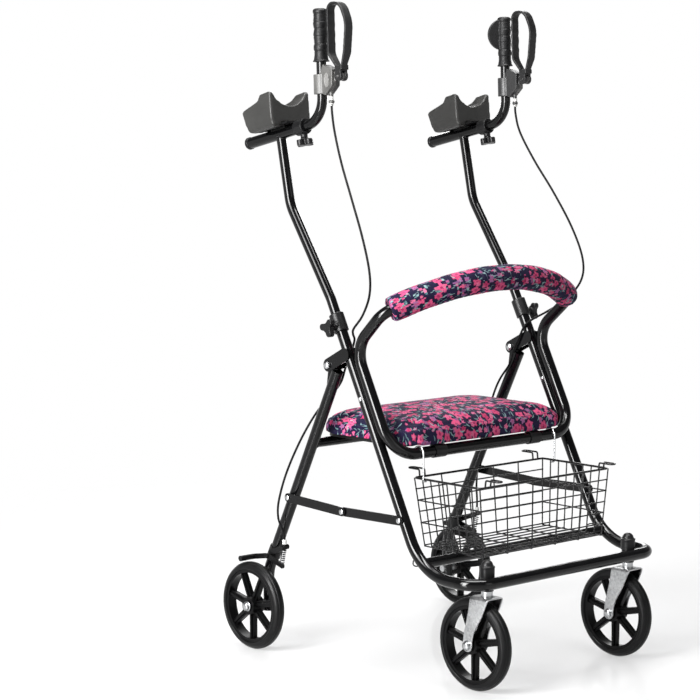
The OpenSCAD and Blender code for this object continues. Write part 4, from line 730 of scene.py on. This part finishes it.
def seat_cushion():
    rows = [(0.957, 0.0), (0.978, 0.1), (0.989, 0.32), (0.99, 0.5), (0.982, 0.68), (0.963, 0.84), (0.938, 0.95)]
    tops = (0.905, 0.86, 0.77, 0.64, 0.5, 0.35, 0.2, 0.08)
    outline = seat_outline(inset=0, count=18)
    levels = [(s, h * SEAT_T) for s, h in rows]
    levels += [(s, (SEAT_T + SEAT_CROWN * (1 - s * s)) * 0.97) for s in tops]
    points = [at(x * s, SEAT_FWD - y * s, SEAT_LOW + h) for s, h in levels for x, y in outline]
    obj = new_piece("seat_cushion", points, wall_faces(len(levels), len(outline)), "print_fabric")
    floor = SEAT_LOW * MM
    puffed(obj, voxel=0.005, pressure=4.0, cap=0.006, held=lambda p: p[:, 2] < floor + 0.004)
    p = points_of(obj)
    mid_y = at(0, SEAT_FWD, 0)[1]
    x, y, z = p[:, 0] / MM, (p[:, 1] - mid_y) / MM, p[:, 2] / MM - SEAT_LOW
    out, nx, ny = seat_edge(x, y)
    top = rise(z, SEAT_T * 0.6, SEAT_T * 0.3)
    sunk = SEAM_DIP * bell(out, -SEAM_IN, 2.6) * top
    sag = SEAT_SAG * bell(x, 0, 150) * bell(y, 0, 80) * top
    ripple = PUCKER * np.sin(np.arctan2(y, x) * PUCKERS) * bell(out, 7 - SEAM_IN, 6) * top
    past_board = rise(np.maximum(out + BOARD_IN, -y - BOARD_FRONT), 0, 4)
    lip = (SEAT_LIP - LOOP_LIFT * bell(np.abs(x), LOOP_X, 9)) * past_board * fall(z, 18, 18)
    p[:, 2] = np.maximum(p[:, 2] - (sunk + sag - ripple) * MM, floor) - lip * MM
    set_points(obj, p)
    drop = np.maximum(SEAT_T * 0.95 - z, 0)
    cloth_map(obj, np.stack([x + nx * drop, y + ny * drop], 1) * MM)
    seated(obj, "seat", "print_fabric", "seat_pad")
    return obj


HOOP_RISE = math.radians(42)
HOOP_FOOT_Z, SHOULDER_UP, SHOULDER_OUT, HOOP_UP, HOOP_R = 708, 122, 6, 312, 0.475
ROLL_R, ROLL_STEP, SLEEVE_START, SLEEVE_ROOM, HEM_IN = 30, 0.006, 18, 1.6, 0.015


def backrest_line():
    """Middle line of the backrest roll, with points at even distances."""
    up = Vector((0, -math.cos(HOOP_RISE), math.sin(HOOP_RISE)))
    foot = at(LEG_X, seat_line_fwd(HOOP_FOOT_Z), HOOP_FOOT_Z)
    shoulder = foot + (up * SHOULDER_UP + Vector((SHOULDER_OUT, 0, 0))) * MM
    peak = Vector((0, foot[1], foot[2])) + up * HOOP_UP * MM
    first = shoulder + (peak - shoulder).normalized() * SLEEVE_START * MM
    return resampled(rounded_path([first, peak, mirrored(first, -1)], (HOOP_R,), steps=90), ROLL_STEP)


def along_line(points, line):
    """Run along the line, and place across it in two directions, for each point."""
    e, f = carried_frames(line)
    near = np.array([np.argmin(((line - q) ** 2).sum(1)) for q in points])
    away = points - line[near]
    step = np.linalg.norm(np.diff(line, axis=0), axis=1).mean()
    return near * step, (away * e[near]).sum(1), (away * f[near]).sum(1), near


def backrest_sleeve():
    line = backrest_line()
    ease = np.ones(len(line))
    ease[:2] = ease[-2:] = 0.96
    points, faces = tube_mesh(line, (ROLL_R - SLEEVE_ROOM) * MM * ease, sides=36)
    obj = new_piece("backrest_sleeve", points, faces, "print_fabric")
    ends = (line[0], line[-1])
    puffed(obj, voxel=0.0045, pressure=4.0, cap=0.0035,
           held=lambda p: np.minimum(*(np.linalg.norm(p - q, axis=1) for q in ends)) < 0.03)
    p = points_of(obj)
    run, a, b, near = along_line(p, line)
    bend = np.gradient(np.gradient(line, axis=0), axis=0)
    curl = np.linalg.norm(bend, axis=1) / ROLL_STEP**2
    inward = bend / np.maximum(np.linalg.norm(bend, axis=1), 1e-12)[:, None]
    away = p - line[near]
    away /= np.maximum(np.linalg.norm(away, axis=1), 1e-9)[:, None]
    inner = rise((away * inward[near]).sum(1), 0, 1) * rise(curl[near], 0, 4)
    fold_pitch, fold_deep, soft_deep, hem_deep, hem_wide = 0.0125, 0.0011, 0.0006, 0.0012, 0.0025
    total = run.max()
    fold = np.sin(run * 2 * math.pi / fold_pitch + 2 * np.sin(run * 60)) * inner * fold_deep
    soft = np.sin(run * 21 + 3 * a / 0.02) * np.sin(run * 47 + 2 * b / 0.02) * soft_deep
    hem = -hem_deep * (bell(run, HEM_IN, hem_wide) + bell(run, total - HEM_IN, hem_wide))
    set_points(obj, p + away * (fold + soft + hem)[:, None])
    angle = np.arctan2(b, a)
    corners, layer = cloth_map(obj, np.stack([run, angle * ROLL_R * MM], 1))
    around = 2 * math.pi * ROLL_R * MM
    uv = np.zeros(len(corners) * 2)
    layer.data.foreach_get("uv", uv)
    uv = uv.reshape(-1, 2)
    for face in obj.data.polygons:
        v = uv[face.loop_start:face.loop_start + face.loop_total, 1]
        if v.max() - v.min() > around / 2:
            v[v < 0] += around
    layer.data.foreach_set("uv", uv.ravel())
    seated(obj, "front_frame", "print_fabric", "backrest_pad")
    return obj, line


cushion = seat_cushion()
sleeve, sleeve_line = backrest_sleeve()


def forearm_troughs():
    for side, _ in SIDES:
        obj = softened(f"trough_pad_{side}", voxel=0.0028, rounds=9, finish="trough_foam")
        obj.name = f"forearm_trough_{side}"
        seated(obj, f"arm_{side}", "trough_foam", f"trough_pad_{side}")


forearm_troughs()


# Moulded pieces with rounded edges
def moulded_pieces():
    """Pieces of one body and pieces of each side, each with the size of its even faces and its rounds of easing."""
    shared = (("height_collars", 0.0011, 4), ("stem_caps", 0.0011, 4))
    paired = (("height_knob", 0.0010, 5), ("arm_knob", 0.0010, 5), ("arm_fittings", 0.0011, 3),
              ("brake_housing", 0.0011, 4))
    todo = list(shared) + [(f"{n}_{side}", v, k) for side, _ in SIDES for n, v, k in paired]
    for node, voxel, rounds in todo:
        obj = softened(node, voxel, rounds, SLOT_OF[node])
        seated(obj, BODY_OF[node], SLOT_OF[node], node)


def in_handle(p, sign):
    """Points of one side as places in the left handle's own frame, in millimetres."""
    back = np.array(HANDLE.inverted())
    return ((p * (sign, 1, 1)) @ back[:3, :3].T + back[:3, 3]) / MM


def from_handle(own, sign):
    turn = np.array(HANDLE)
    return ((own * MM) @ turn[:3, :3].T + turn[:3, 3]) * (sign, 1, 1)


def reshaped(kind, voxel, rounds, slot, body, change):
    """Rounds a piece of each handle and changes its points in the handle's own frame."""
    for side, sign in SIDES:
        obj = softened(f"{kind}_{side}", voxel, rounds, slot)
        own = in_handle(points_of(obj), sign)
        change(own)
        set_points(obj, from_handle(own, sign))
        seated(obj, f"{body}_{side}", slot, f"{kind}_{side}")


def lever_bow(own):
    """Makes the lever's bow broad and flat, with finger ripples on its side beside the grip."""
    low, high, inner, depth, pitch = 150, 240, 37.5, 0.9, 21
    root, wider = 116, 0.36
    reach, z = -own[:, 1], own[:, 2]
    bow = fall(reach, inner, 3) * rise(z, low, 12) * fall(z, high, 10)
    own[:, 0] *= 1 + wider * rise(z, root, 24)
    own[:, 1] += depth * np.sin(z * 2 * math.pi / pitch) * bow


def grip_grooves(own):
    """Cuts narrow grooves between the finger places of the rubber grip."""
    inner, outer, depth, width = 13.5, 20, 1.1, 1.3
    far = np.hypot(own[:, 0], own[:, 1])
    skin = rise(far, inner, 1.0) * fall(far, outer, 1.5)
    cut = sum(bell(own[:, 2], z, width) for z in range(150, 231, 16))
    own[:, :2] *= (1 - depth * cut * skin / np.maximum(far, 1))[:, None]


def housing_ovals():
    """Plain raised oval on the outer face of each brake housing."""
    steps, levels = 40, ((1.0, -0.6), (1.0, 0.3), (0.95, 0.6), (0.86, 0.7), (0.82, 0.45), (0.4, 0.5))
    (x, y, z), wide, tall = (12, -28, 86), 7.5, 15.5
    own = np.array([(x + h, y + wide * s * math.cos(a), z + tall * s * math.sin(a))
                    for s, h in levels for a in round_angles(steps)])
    for side, sign in SIDES:
        obj = new_piece(f"housing_oval_{side}", from_handle(own, sign), wall_faces(len(levels), steps))
        obj.data.materials.append(OVAL)
        seated(obj, f"handle_{side}", "housing_grey")


moulded_pieces()
reshaped("brake_lever", voxel=0.0011, rounds=4, slot="lever_black", body="brake_lever", change=lever_bow)
reshaped("hand_grip", voxel=0.0012, rounds=5, slot="grip_rubber", body="handle", change=grip_grooves)
housing_ovals()


def tyres():
    """Solid tyres with two shallow grooves in the tread and a moulding rib on each wall."""
    section, flat, rim = 15, 0.4, (WHEEL_D / 2 - 16) * MM
    groove, groove_at, ridge, ridge_at = 0.9, (-26, 26), 0.45, (-63, 63)
    profile = []
    for a in np.linspace(-90, 90, 73):
        cut = -groove * sum(bell(a, g, 3.2) for g in groove_at)
        rib = ridge * sum(bell(a, g, 3.0) for g in ridge_at)
        r, turn = section + cut + rib, math.radians(a)
        profile.append(((WHEEL_D / 2 - section + r * math.cos(turn)) * MM, r * math.sin(turn) * MM))
    profile += [(rim, (section - flat) * MM), (rim, (flat - section) * MM)]
    for kind, x, fwd in (("rear", REAR_TRACK / 2, 0), ("caster", STEM_X, WHEEL_BASE)):
        for side, sign in SIDES:
            hub = Matrix.Translation(at(x * sign, fwd, AXLE_Z)) @ Matrix.Rotation(math.radians(90), 4, "Y")
            points, faces = lathe_mesh(profile, steps=112, frame_of=hub)
            obj = new_piece(f"{kind}_tyre_{side}_tread", points, faces, "tyre_rubber")
            seated(obj, f"{kind}_wheel_{side}", "tyre_rubber", f"{kind}_tyre_{side}")


tyres()


FORK_END = 13


def fork_edges(z):
    """Front and rear edge of a caster fork leg at a height, as distances behind the stem."""
    foot, head, trail, end = AXLE_Z, 207, STEM_FWD - WHEEL_BASE, FORK_END
    if z < foot:
        half = math.sqrt(max(end * end - (foot - z) ** 2, 0))
        return trail - half, trail + half
    drop = head - foot
    rear = ((26, head), (30, foot + drop * 0.55), (trail + end, foot + drop * 0.3), (trail + end, foot))
    front = ((-24, head), (-12, foot + drop * 0.55), (trail - end, foot + drop * 0.4), (trail - end, foot))
    found = []
    for q in (front, rear):
        t = np.linspace(0, 1, 60)[:, None]
        s = 1 - t
        q = np.array(q, float)
        bend = q[0] * s**3 + 3 * q[1] * s * s * t + 3 * q[2] * s * t * t + q[3] * t**3
        found.append(float(np.interp(z, bend[::-1, 1], bend[::-1, 0])))
    return tuple(found)


def caster_forks():
    """Pressed forks: one strip of sheet that turns over the wheel, with the legs sweeping back to the axle."""
    half, top, low, bend, thick = 23.5, 205.5, 87.05, 6.5, 3
    foot = low + FORK_END * (1 - np.cos(np.linspace(0, 1.5, 9)))
    climb = [(half, z) for z in np.concatenate([foot, np.linspace(102, top - bend, 15)])]
    turn = [(half - bend + bend * math.cos(a), top - bend + bend * math.sin(a)) for a in np.linspace(0.2, 1.57, 7)]
    flat = [(x, top) for x in np.linspace(half - bend - 2, 2, 6)]
    side_line = climb + turn + flat
    line = side_line + [(-x, z) for x, z in reversed(side_line)]
    count = 9
    for side, sign in SIDES:
        points = []
        for x, z in line:
            points += [at(sign * STEM_X + x, STEM_FWD - y, z) for y in np.linspace(*fork_edges(z), count)]
        faces = [(i * count + k, i * count + k + 1, (i + 1) * count + k + 1, (i + 1) * count + k)
                 for i in range(len(line) - 1) for k in range(count - 1)]
        obj = new_piece(f"caster_fork_{side}_pressing", points, faces, "zinc_fork")
        plate = obj.modifiers.new("plate", "SOLIDIFY")
        plate.thickness = thick * MM
        plate.offset = 0
        edge = obj.modifiers.new("edge", "BEVEL")
        edge.width = 0.0007
        edge.segments = 2
        edge.limit_method = "ANGLE"
        edge.angle_limit = math.radians(50)
        settle(obj)
        seated(obj, f"caster_{side}", "zinc_fork", f"caster_fork_{side}")


caster_forks()


# Pieces that repeat or follow a line, grown by geometry nodes
GEO, FIN = "NodeSocketGeometry", "NodeSocketMaterial"


def grower(name, **sizes):
    takes = [("Geometry", GEO, None), ("Finish", FIN, None)]
    takes += [(n, INT if isinstance(v, int) else NUM, v) for n, v in sizes.items()]
    return tree_group(name, "GeometryNodeTree", takes, [("Geometry", GEO)])


def close_tree(w, takes, gives, made):
    real = w.out("GeometryNodeRealizeInstances", {0: made})
    smooth = w.out("GeometryNodeSetShadeSmooth", {0: real})
    done = w.out("GeometryNodeSetMaterial", {"Geometry": smooth, "Material": takes["Finish"]})
    w.join(done, gives["Geometry"])


def named(w, name, kind="FLOAT_VECTOR"):
    return w.out("GeometryNodeInputNamedAttribute", {"Name": name}, data_type=kind)


def aimed(w, way):
    return w.out("FunctionNodeAlignRotationToVector", {"Vector": way}, axis="Z")


def on_points(w, points, thing, **feeds):
    return w.out("GeometryNodeInstanceOnPoints", {"Points": points, "Instance": thing, **feeds})


def together(w, *parts):
    both = w.add("GeometryNodeJoinGeometry")
    for part in parts:
        w.join(part, both.inputs[0])
    return both.outputs[0]


def make_studs():
    """Domed or six-sided heads on a washer, one on each point, along its own way out."""
    group, w, takes, gives = grower("bolt_heads", Radius=0.006, Height=0.0024, Washer=0.0, Sides=0)
    way = aimed(w, named(w, "way"))
    dome = w.out("GeometryNodeMeshUVSphere", {"Segments": 28, "Rings": 14, "Radius": 1.0})
    size = w.out("ShaderNodeCombineXYZ", {0: takes["Radius"], 1: takes["Radius"], 2: takes["Height"]})
    domes = on_points(w, takes["Geometry"], dome, Rotation=way, Scale=size)
    block = w.out("GeometryNodeMeshCylinder", {"Vertices": takes["Sides"], "Radius": w.times(takes["Radius"], 1.14),
                                               "Depth": w.times(takes["Height"], 1.5)})
    blocks = on_points(w, takes["Geometry"], block, Rotation=way)
    disc = w.out("GeometryNodeMeshCylinder", {"Vertices": 36, "Radius": takes["Washer"], "Depth": 0.0014})
    under = w.out("ShaderNodeCombineXYZ", {2: w.times(takes["Height"], -0.75)})
    low = w.out("GeometryNodeTransform", {"Geometry": disc, "Translation": under})
    discs = on_points(w, takes["Geometry"], low, Rotation=way)
    close_tree(w, takes, gives, together(w, domes, blocks, discs))
    return group


def make_row():
    """Small rounded stitches or weld ripples, one after another along a line."""
    group, w, takes, gives = grower("beads_in_a_row", Pitch=0.004, Radius=0.0005, Length=0.0016)
    line = w.out("GeometryNodeMeshToCurve", {0: takes["Geometry"]})
    spaced = w.out("GeometryNodeResampleCurve", {"Curve": line, "Length": takes["Pitch"]}, mode="LENGTH")
    bead = w.out("GeometryNodeMeshUVSphere", {"Segments": 8, "Rings": 5, "Radius": 1.0})
    size = w.out("ShaderNodeCombineXYZ", {0: takes["Radius"], 1: takes["Radius"], 2: takes["Length"]})
    way = aimed(w, w.out("GeometryNodeInputTangent"))
    beads = on_points(w, spaced, bead, Rotation=way, Scale=size)
    close_tree(w, takes, gives, beads)
    return group


def make_cage():
    """Round wires along every edge, with a welded lump on each marked point."""
    group, w, takes, gives = grower("welded_wires", Lump=0.0021, Sides=10)
    line = w.out("GeometryNodeMeshToCurve", {0: takes["Geometry"]})
    ring = w.out("GeometryNodeCurvePrimitiveCircle", {"Resolution": takes["Sides"], "Radius": 1.0})
    wires = w.out("GeometryNodeCurveToMesh", {"Curve": line, "Profile Curve": ring, "Fill Caps": True,
                                              "Scale": named(w, "thick", "FLOAT")})
    lump = w.out("GeometryNodeMeshIcoSphere", {"Radius": takes["Lump"], "Subdivisions": 2})
    picked = w.out("FunctionNodeCompare", {0: named(w, "lump", "FLOAT"), 1: 0.5}, operation="GREATER_THAN")
    lumps = on_points(w, takes["Geometry"], lump, Selection=picked)
    close_tree(w, takes, gives, together(w, wires, lumps))
    return group


def make_coil():
    """Wound spring on each point, along its own way."""
    group, w, takes, gives = grower("wound_spring", Turns=7.0, Radius=0.0038, Wire=0.0007, Height=0.034)
    turns = w.out("GeometryNodeCurveSpiral", {"Resolution": 24, "Rotations": takes["Turns"],
                                              "Start Radius": takes["Radius"], "End Radius": takes["Radius"],
                                              "Height": takes["Height"]})
    ring = w.out("GeometryNodeCurvePrimitiveCircle", {"Resolution": 8, "Radius": takes["Wire"]})
    wire = w.out("GeometryNodeCurveToMesh", {"Curve": turns, "Profile Curve": ring, "Fill Caps": True})
    coils = on_points(w, takes["Geometry"], wire, Rotation=aimed(w, named(w, "way")))
    close_tree(w, takes, gives, coils)
    return group


STUDS, ROW, CAGE, COIL = make_studs(), make_row(), make_cage(), make_coil()


def grown(name, tree, points, body, slot, finish=None, edges=(), marks=None, nodes=(), **sizes):
    """Runs a node tree on points or edges and keeps what it makes as one plain piece on a body."""
    obj = new_piece(name, points, [], edges=edges)
    for label, values in (marks or {}).items():
        values = np.asarray(values, float)
        kind = "FLOAT_VECTOR" if values.ndim == 2 else "FLOAT"
        layer = obj.data.attributes.new(label, kind, "POINT")
        layer.data.foreach_set("vector" if values.ndim == 2 else "value", values.ravel())
    form = obj.modifiers.new("form", "NODES")
    form.node_group = tree
    sockets = {s.name: s.identifier for s in tree.interface.items_tree if s.in_out == "INPUT"}
    form[sockets["Finish"]] = finish or FINISH[slot]
    for label, value in sizes.items():
        form[sockets[label]] = value
    settle(obj)
    seated(obj, body, slot, *nodes)


def heads():
    """Rivet domes, bolt heads and axle nuts over the turned ones of the frame."""

    def studs(name, body, sides, middle, out, place, **sizes):
        """Heads at these distances out from the middle of a leg or wheel, on these sides."""
        points = [at(s * (middle + d), *place) for s in sides for d in out]
        ways = [(math.copysign(1, s * d), 0, 0) for s in sides for d in out]
        grown(name, STUDS, points, body, "zinc_hardware", marks={"way": ways}, **sizes)

    rivet = dict(Radius=0.0062, Height=0.0026)
    nut = dict(Radius=0.0087, Height=0.0042, Sides=6)
    front, rear = leg_fwd(STRUT_FRONT_Z), rear_fwd(STRUT_REAR_Z)
    studs("strut_rivets_front", "front_frame", BOTH, LEG_X, (17.9,), (front, STRUT_FRONT_Z), **rivet)
    studs("strut_rivets_rear", "rear_frame", BOTH, LEG_X, (21.3,), (rear, STRUT_REAR_Z), **rivet)
    studs("strut_rivets_middle", "rear_strut", BOTH, LEG_X, (20.9,), STRUT_MID, **rivet)
    studs("pivot_bolt_heads", "front_frame", BOTH, LEG_X, (19.4, -19.4), PIVOT, Radius=0.0082, Height=0.005)
    studs("leg_rivets", "front_frame", BOTH, LEG_X, (12.6, -12.6), (leg_fwd(RIVET_Z), RIVET_Z), Radius=0.0052,
          Height=0.0022)
    studs("rear_axle_nuts", "rear_frame", BOTH, REAR_TRACK / 2, (22.6,), (0, AXLE_Z), Washer=0.0115, **nut)
    for side, sign in SIDES:
        studs(f"caster_axle_nuts_{side}", f"caster_{side}", (sign,), STEM_X, (28.2, -28.2), (WHEEL_BASE, AXLE_Z),
              Washer=0.0112, **nut)


heads()


def basket():
    """Wire basket: floor, four walls that lean out, a thicker rim and two upright hooks at each side."""
    wire, rim, loop = 1.6, 2.5, 2.0
    low, top, width, deep, rear = 279.1, 427, 408, 198, 392
    wall, bar_drop, lean_side, lean_front = top - low, 2.2, 16, 4
    hook_x, hook_root, hook_reach, hook_rise = (172, 188), 2, 38, 16
    posts = [2 * j / 5 - 1 for j in range(6)]

    def wall_x(s):
        return width / 2 - lean_side * (1 - s)

    def rear_wall(s):
        return rear + lean_side * (1 - s)

    def front_wall(s):
        return rear + deep - lean_front * (1 - s)

    def along_end(s, k):
        return rear_wall(s) + (front_wall(s) - rear_wall(s)) * k

    points, edges, thick, lump = [], [], [], []

    def run(line, d):
        first = len(points)
        points.extend(at(*q) for q in line)
        edges.extend((first + i, first + i + 1) for i in range(len(line) - 1))
        thick.extend([d * MM] * len(line))
        lump.extend([0] * len(line))

    def weld(*q):
        points.append(at(*q))
        thick.append(0)
        lump.append(1)

    for i in range(9):
        f = along_end(0, i / 8)
        run([(-wall_x(0), f, low), (wall_x(0), f, low)], wire)
        for k in posts:
            weld(k * wall_x(0), f, low)
    for k in posts:
        run([(k * wall_x(0), edge(0), low - bar_drop) for edge in (rear_wall, front_wall)], wire)
    for edge in (rear_wall, front_wall):
        for s in np.arange(1, 6) / 6:
            run([(sign * wall_x(s), edge(s), low + wall * s) for sign in (-1, 1)], wire)
            for k in posts:
                weld(k * wall_x(s), edge(s), low + wall * s)
        for k in posts:
            run([(k * wall_x(0), edge(0), low), (k * wall_x(1), edge(1), top)], wire)
    for sign in BOTH:
        for k in np.arange(1, 8) / 8:
            run([(sign * wall_x(0), along_end(0, k), low), (sign * wall_x(1), along_end(1, k), top)], wire)
        for s in np.arange(1, 3) / 3:
            run([(sign * wall_x(s), edge(s), low + wall * s) for edge in (rear_wall, front_wall)], wire)
    corner = [(q[0], q[1], top) for q in rounded_path(
        [(0, rear, 0), (width / 2, rear, 0), (width / 2, rear + deep, 0), (-width / 2, rear + deep, 0),
         (-width / 2, rear, 0), (0, rear, 0)], (9, 9, 9, 9), steps=8)]
    run(corner, rim)
    for sign in BOTH:
        for edge, way in ((rear, -1), (rear + deep, 1)):
            x0, x1 = (sign * x for x in hook_x)
            root, tip, rise_to = edge + way * hook_root, edge + way * hook_reach, top + hook_rise
            bow = rounded_path([(x0, edge, top), (x0, root, rise_to), (x0, tip, rise_to), (x1, tip, rise_to),
                                (x1, root, rise_to), (x1, edge, top)], (4, 7.4, 7.4, 4), steps=8)
            run([tuple(q) for q in bow], loop)
    grown("wire_basket", CAGE, points, "front_frame", "basket_wire", edges=edges,
          marks={"thick": thick, "lump": lump}, nodes=("basket_floor", "basket_front", "basket_rear", "basket_ends"),
          Lump=0.0021, Sides=10)


basket()


def saddle_ring(start, way, radius, other, other_way, other_radius, count=48):
    """Closed line where one tube meets the side of another."""
    way, other_way = Vector(way).normalized(), Vector(other_way).normalized()
    e = way.orthogonal().normalized()
    f = way.cross(e)
    d = way - other_way * way.dot(other_way)
    qa, ring = d.dot(d), []
    for i in range(count):
        a = 2 * math.pi * i / count
        edge = Vector(start) + (e * math.cos(a) + f * math.sin(a)) * radius
        p = edge - Vector(other)
        p -= other_way * p.dot(other_way)
        qb, qc = 2 * p.dot(d), p.dot(p) - other_radius**2
        t = (-qb - math.sqrt(max(qb * qb - 4 * qa * qc, 0))) / (2 * qa)
        ring.append(edge + way * t)
    return ring


def ring_row(name, rings, body, slot, finish=None, **sizes):
    points = [p for ring in rings for p in ring]
    edges, first = [], 0
    for ring in rings:
        edges += [(first + i, first + (i + 1) % len(ring)) for i in range(len(ring))]
        first += len(ring)
    grown(name, ROW, points, body, slot, finish=finish, edges=edges, **sizes)


def weld_beads():
    bead = dict(Pitch=0.0022, Radius=0.0017, Length=0.0021)
    loop_way = (0, 0.85, 0.53)
    r, rear_z, lean = TUBE_D / 2 * MM, SEAT_BAR[1] + TUBE_D / 2 - CROSSBAR_R, math.radians(REAR_LEAN)
    for place, bar, leg_way in (("front", CROSSBAR, loop_way),
                                ("rear", (rear_fwd(rear_z), rear_z), (0, -math.sin(lean), math.cos(lean)))):
        rings = [saddle_ring(at(0, *bar), (s, 0, 0), CROSSBAR_R * MM, at(s * LEG_X, *bar), leg_way, r) for s in BOTH]
        ring_row(f"{place}_weld_beads", rings, f"{place}_frame", "frame_black", **bead)
    way = ARM.to_3x3() @ Vector((0, 1, 0))
    for side, sign in SIDES:
        top, knee = at(sign * LEG_X, *POST_TOP), at(sign * LEG_X, *POST_KNEE)
        ring = saddle_ring(knee, top - knee, POST_R * MM, top, way, r)
        ring_row(f"post_weld_beads_{side}", [ring], f"arm_{side}", "frame_black", **bead)


weld_beads()


def springs():
    low, high = at(BRAKE_END[0], 72, 205.4), at(*BRAKE_END, 238.3)
    points = [mirrored(low, s) for s in BOTH]
    way = [tuple(mirrored(high - low, s)) for s in BOTH]
    grown("brake_return_springs", COIL, points, "rear_frame", "dark_spring", marks={"way": way},
          nodes=("brake_springs",), Turns=7.0, Height=(high - low).length, Radius=0.0046, Wire=0.0011)


springs()


def sewing():
    """Stitches round the seat's seam and at both hems of the backrest sleeve."""
    stitch = dict(finish=THREAD, Pitch=0.0042, Radius=0.00045, Length=0.0015)
    spacing, above, proud = 4.0, 700, 0.0002
    skin = BVHTree.FromObject(cushion, bpy.context.evaluated_depsgraph_get())
    ring = seat_outline(inset=SEAM_IN - 5, count=12)
    seam = []
    for x, y, _ in resampled([(x, y, 0) for x, y in ring + ring[:1]], spacing)[:-1]:
        hit = skin.ray_cast(at(x, SEAT_FWD - y, above), Vector((0, 0, -1)))
        seam.append(hit[0] + hit[1] * proud)
    ring_row("seat_stitches", [seam], "seat", "print_fabric", **stitch)
    hide = BVHTree.FromObject(sleeve, bpy.context.evaluated_depsgraph_get())
    e, f = carried_frames(sleeve_line)
    rings = []
    for i in (2, len(sleeve_line) - 3):
        ring = []
        for a in round_angles(72):
            way = Vector(e[i] * math.cos(a) + f[i] * math.sin(a))
            hit = hide.ray_cast(Vector(sleeve_line[i]) + way * 0.05, -way)
            ring.append(hit[0] + way * proud)
        rings.append(ring)
    ring_row("sleeve_stitches", rings, "front_frame", "print_fabric", **stitch)


sewing()


def cable_ends():
    """Pale barrel adjusters at both ends of each cable."""
    up = Vector((0, 0, 1))
    at_handle = HANDLE @ (Vector((0, -30, 31)) * MM)
    for side, sign in SIDES:
        for place, body, low, way, tall in (
                ("handle", f"handle_{side}", at_handle, HANDLE.to_3x3() @ up, 20),
                ("brake", "rear_frame", at(*BRAKE_END, 246), up, 13.4)):
            profile = [(2.9, 0), (3.6, 0), (4.1, 0.8), (4.1, 2.6), (5.0, 3.2)]
            profile += [(5.0 - 0.35 * (i % 2), 3.6 + 0.55 * i) for i in range(10)]
            profile += [(5.0, 9.4), (4.7, 10.0), (4.7, tall - 0.6), (4.2, tall), (2.9, tall)]
            turn = up.rotation_difference(way).to_matrix().to_4x4()
            seat = Matrix.Translation(mirrored(low, sign)) @ turn
            points, faces = lathe_mesh([(r * MM, h * MM) for r, h in profile], steps=28, frame_of=seat)
            obj = new_piece(f"cable_adjuster_{place}_{side}", points, faces)
            obj.data.materials.append(ADJUSTER)
            seated(obj, body, "housing_grey")


cable_ends()

# Floor, light and background
floor_mesh = new_piece("floor", [(-6, -6, 0), (6, -6, 0), (6, 6, 0), (-6, 6, 0)], [(0, 1, 2, 3)])


def floor_finish():
    """Smooth pale floor that keeps the shadow, and fades into the white round it."""
    near, far, glow = 0.8, 2.6, 0.4
    made, w, shader = new_finish("pale_floor")
    set_values(shader, Base_Color=(0.6, 0.6, 0.6, 1), Roughness=0.012, Emission_Color=WHITE)
    sight = w.add("ShaderNodeLightPath").outputs
    shown = w.math("MAXIMUM", sight["Is Camera Ray"], sight["Is Glossy Ray"])
    shown = w.math("MAXIMUM", shown, sight["Is Transmission Ray"])
    w.join(w.times(shown, glow), shader.inputs["Emission Strength"])
    place = w.add("ShaderNodeTexCoord").outputs["Object"]
    away = w.add("ShaderNodeVectorMath", {0: place}, operation="LENGTH").outputs["Value"]
    clear = w.out("ShaderNodeBsdfTransparent")
    fade = w.out("ShaderNodeMixShader", {0: w.ramp(away, near, far), 1: shader.outputs[0], 2: clear})
    w.join(fade, made.node_tree.nodes["Material Output"].inputs["Surface"])
    return made


floor_mesh.data.materials.append(floor_finish())

world = bpy.data.worlds.new("studio")
scene.world = world
world.use_nodes = True
sky = Wiring(world.node_tree)
rays = sky.add("ShaderNodeLightPath").outputs
seen = sky.math("MAXIMUM", rays["Is Camera Ray"], rays["Is Transmission Ray"])
seen = sky.math("MAXIMUM", seen, rays["Is Glossy Ray"])
AMBIENT, ROOF_GREY = 0.17, (0.16, 0.16, 0.165, 1)
bright = sky.math("MULTIPLY_ADD", seen, 1 - AMBIENT, AMBIENT)
height = sky.add("ShaderNodeSeparateXYZ", {0: sky.add("ShaderNodeTexCoord").outputs["Generated"]}).outputs[2]
roof = sky.times(sky.ramp(height, 0.06, 0.3), sky.math("SUBTRACT", 1.0, rays["Is Camera Ray"]))
shade = sky.blend(roof, WHITE, ROOF_GREY)
sky.join(bright, world.node_tree.nodes["Background"].inputs["Strength"])
sky.join(shade, world.node_tree.nodes["Background"].inputs["Color"])
scene.view_settings.view_transform = "Standard"


def lamp(name, where, aim, size, power, gloss_only=False):
    light = bpy.data.lights.new(name, "AREA")
    light.shape = "RECTANGLE"
    light.size, light.size_y = size
    light.energy = power
    obj = bpy.data.objects.new(name, light)
    scene.collection.objects.link(obj)
    obj.location = where
    obj.rotation_euler = (Vector(aim) - Vector(where)).to_track_quat("-Z", "Y").to_euler()
    obj.visible_diffuse = not gloss_only


lamp("key", (-3.0, -0.3, 1.9), (0, 0, 0.7), (1.4, 2.0), 185)
lamp("fill", (0.6, -3.6, 1.6), (0, 0, 0.6), (1.6, 1.6), 14)
lamp("back", (2.6, 2.2, 2.0), (0, 0, 0.7), (1.4, 1.8), 60)
lamp("top", (0, 0.2, 3.4), (0, 0, 0), (2.2, 2.2), 75)
lamp("gloss_strip_left", (-3.1, -0.5, 1.0), (0, 0, 0.7), (0.7, 2.4), 170, gloss_only=True)
lamp("gloss_strip_top", (-0.4, -0.6, 3.2), (0, 0, 0.3), (2.6, 0.6), 135, gloss_only=True)
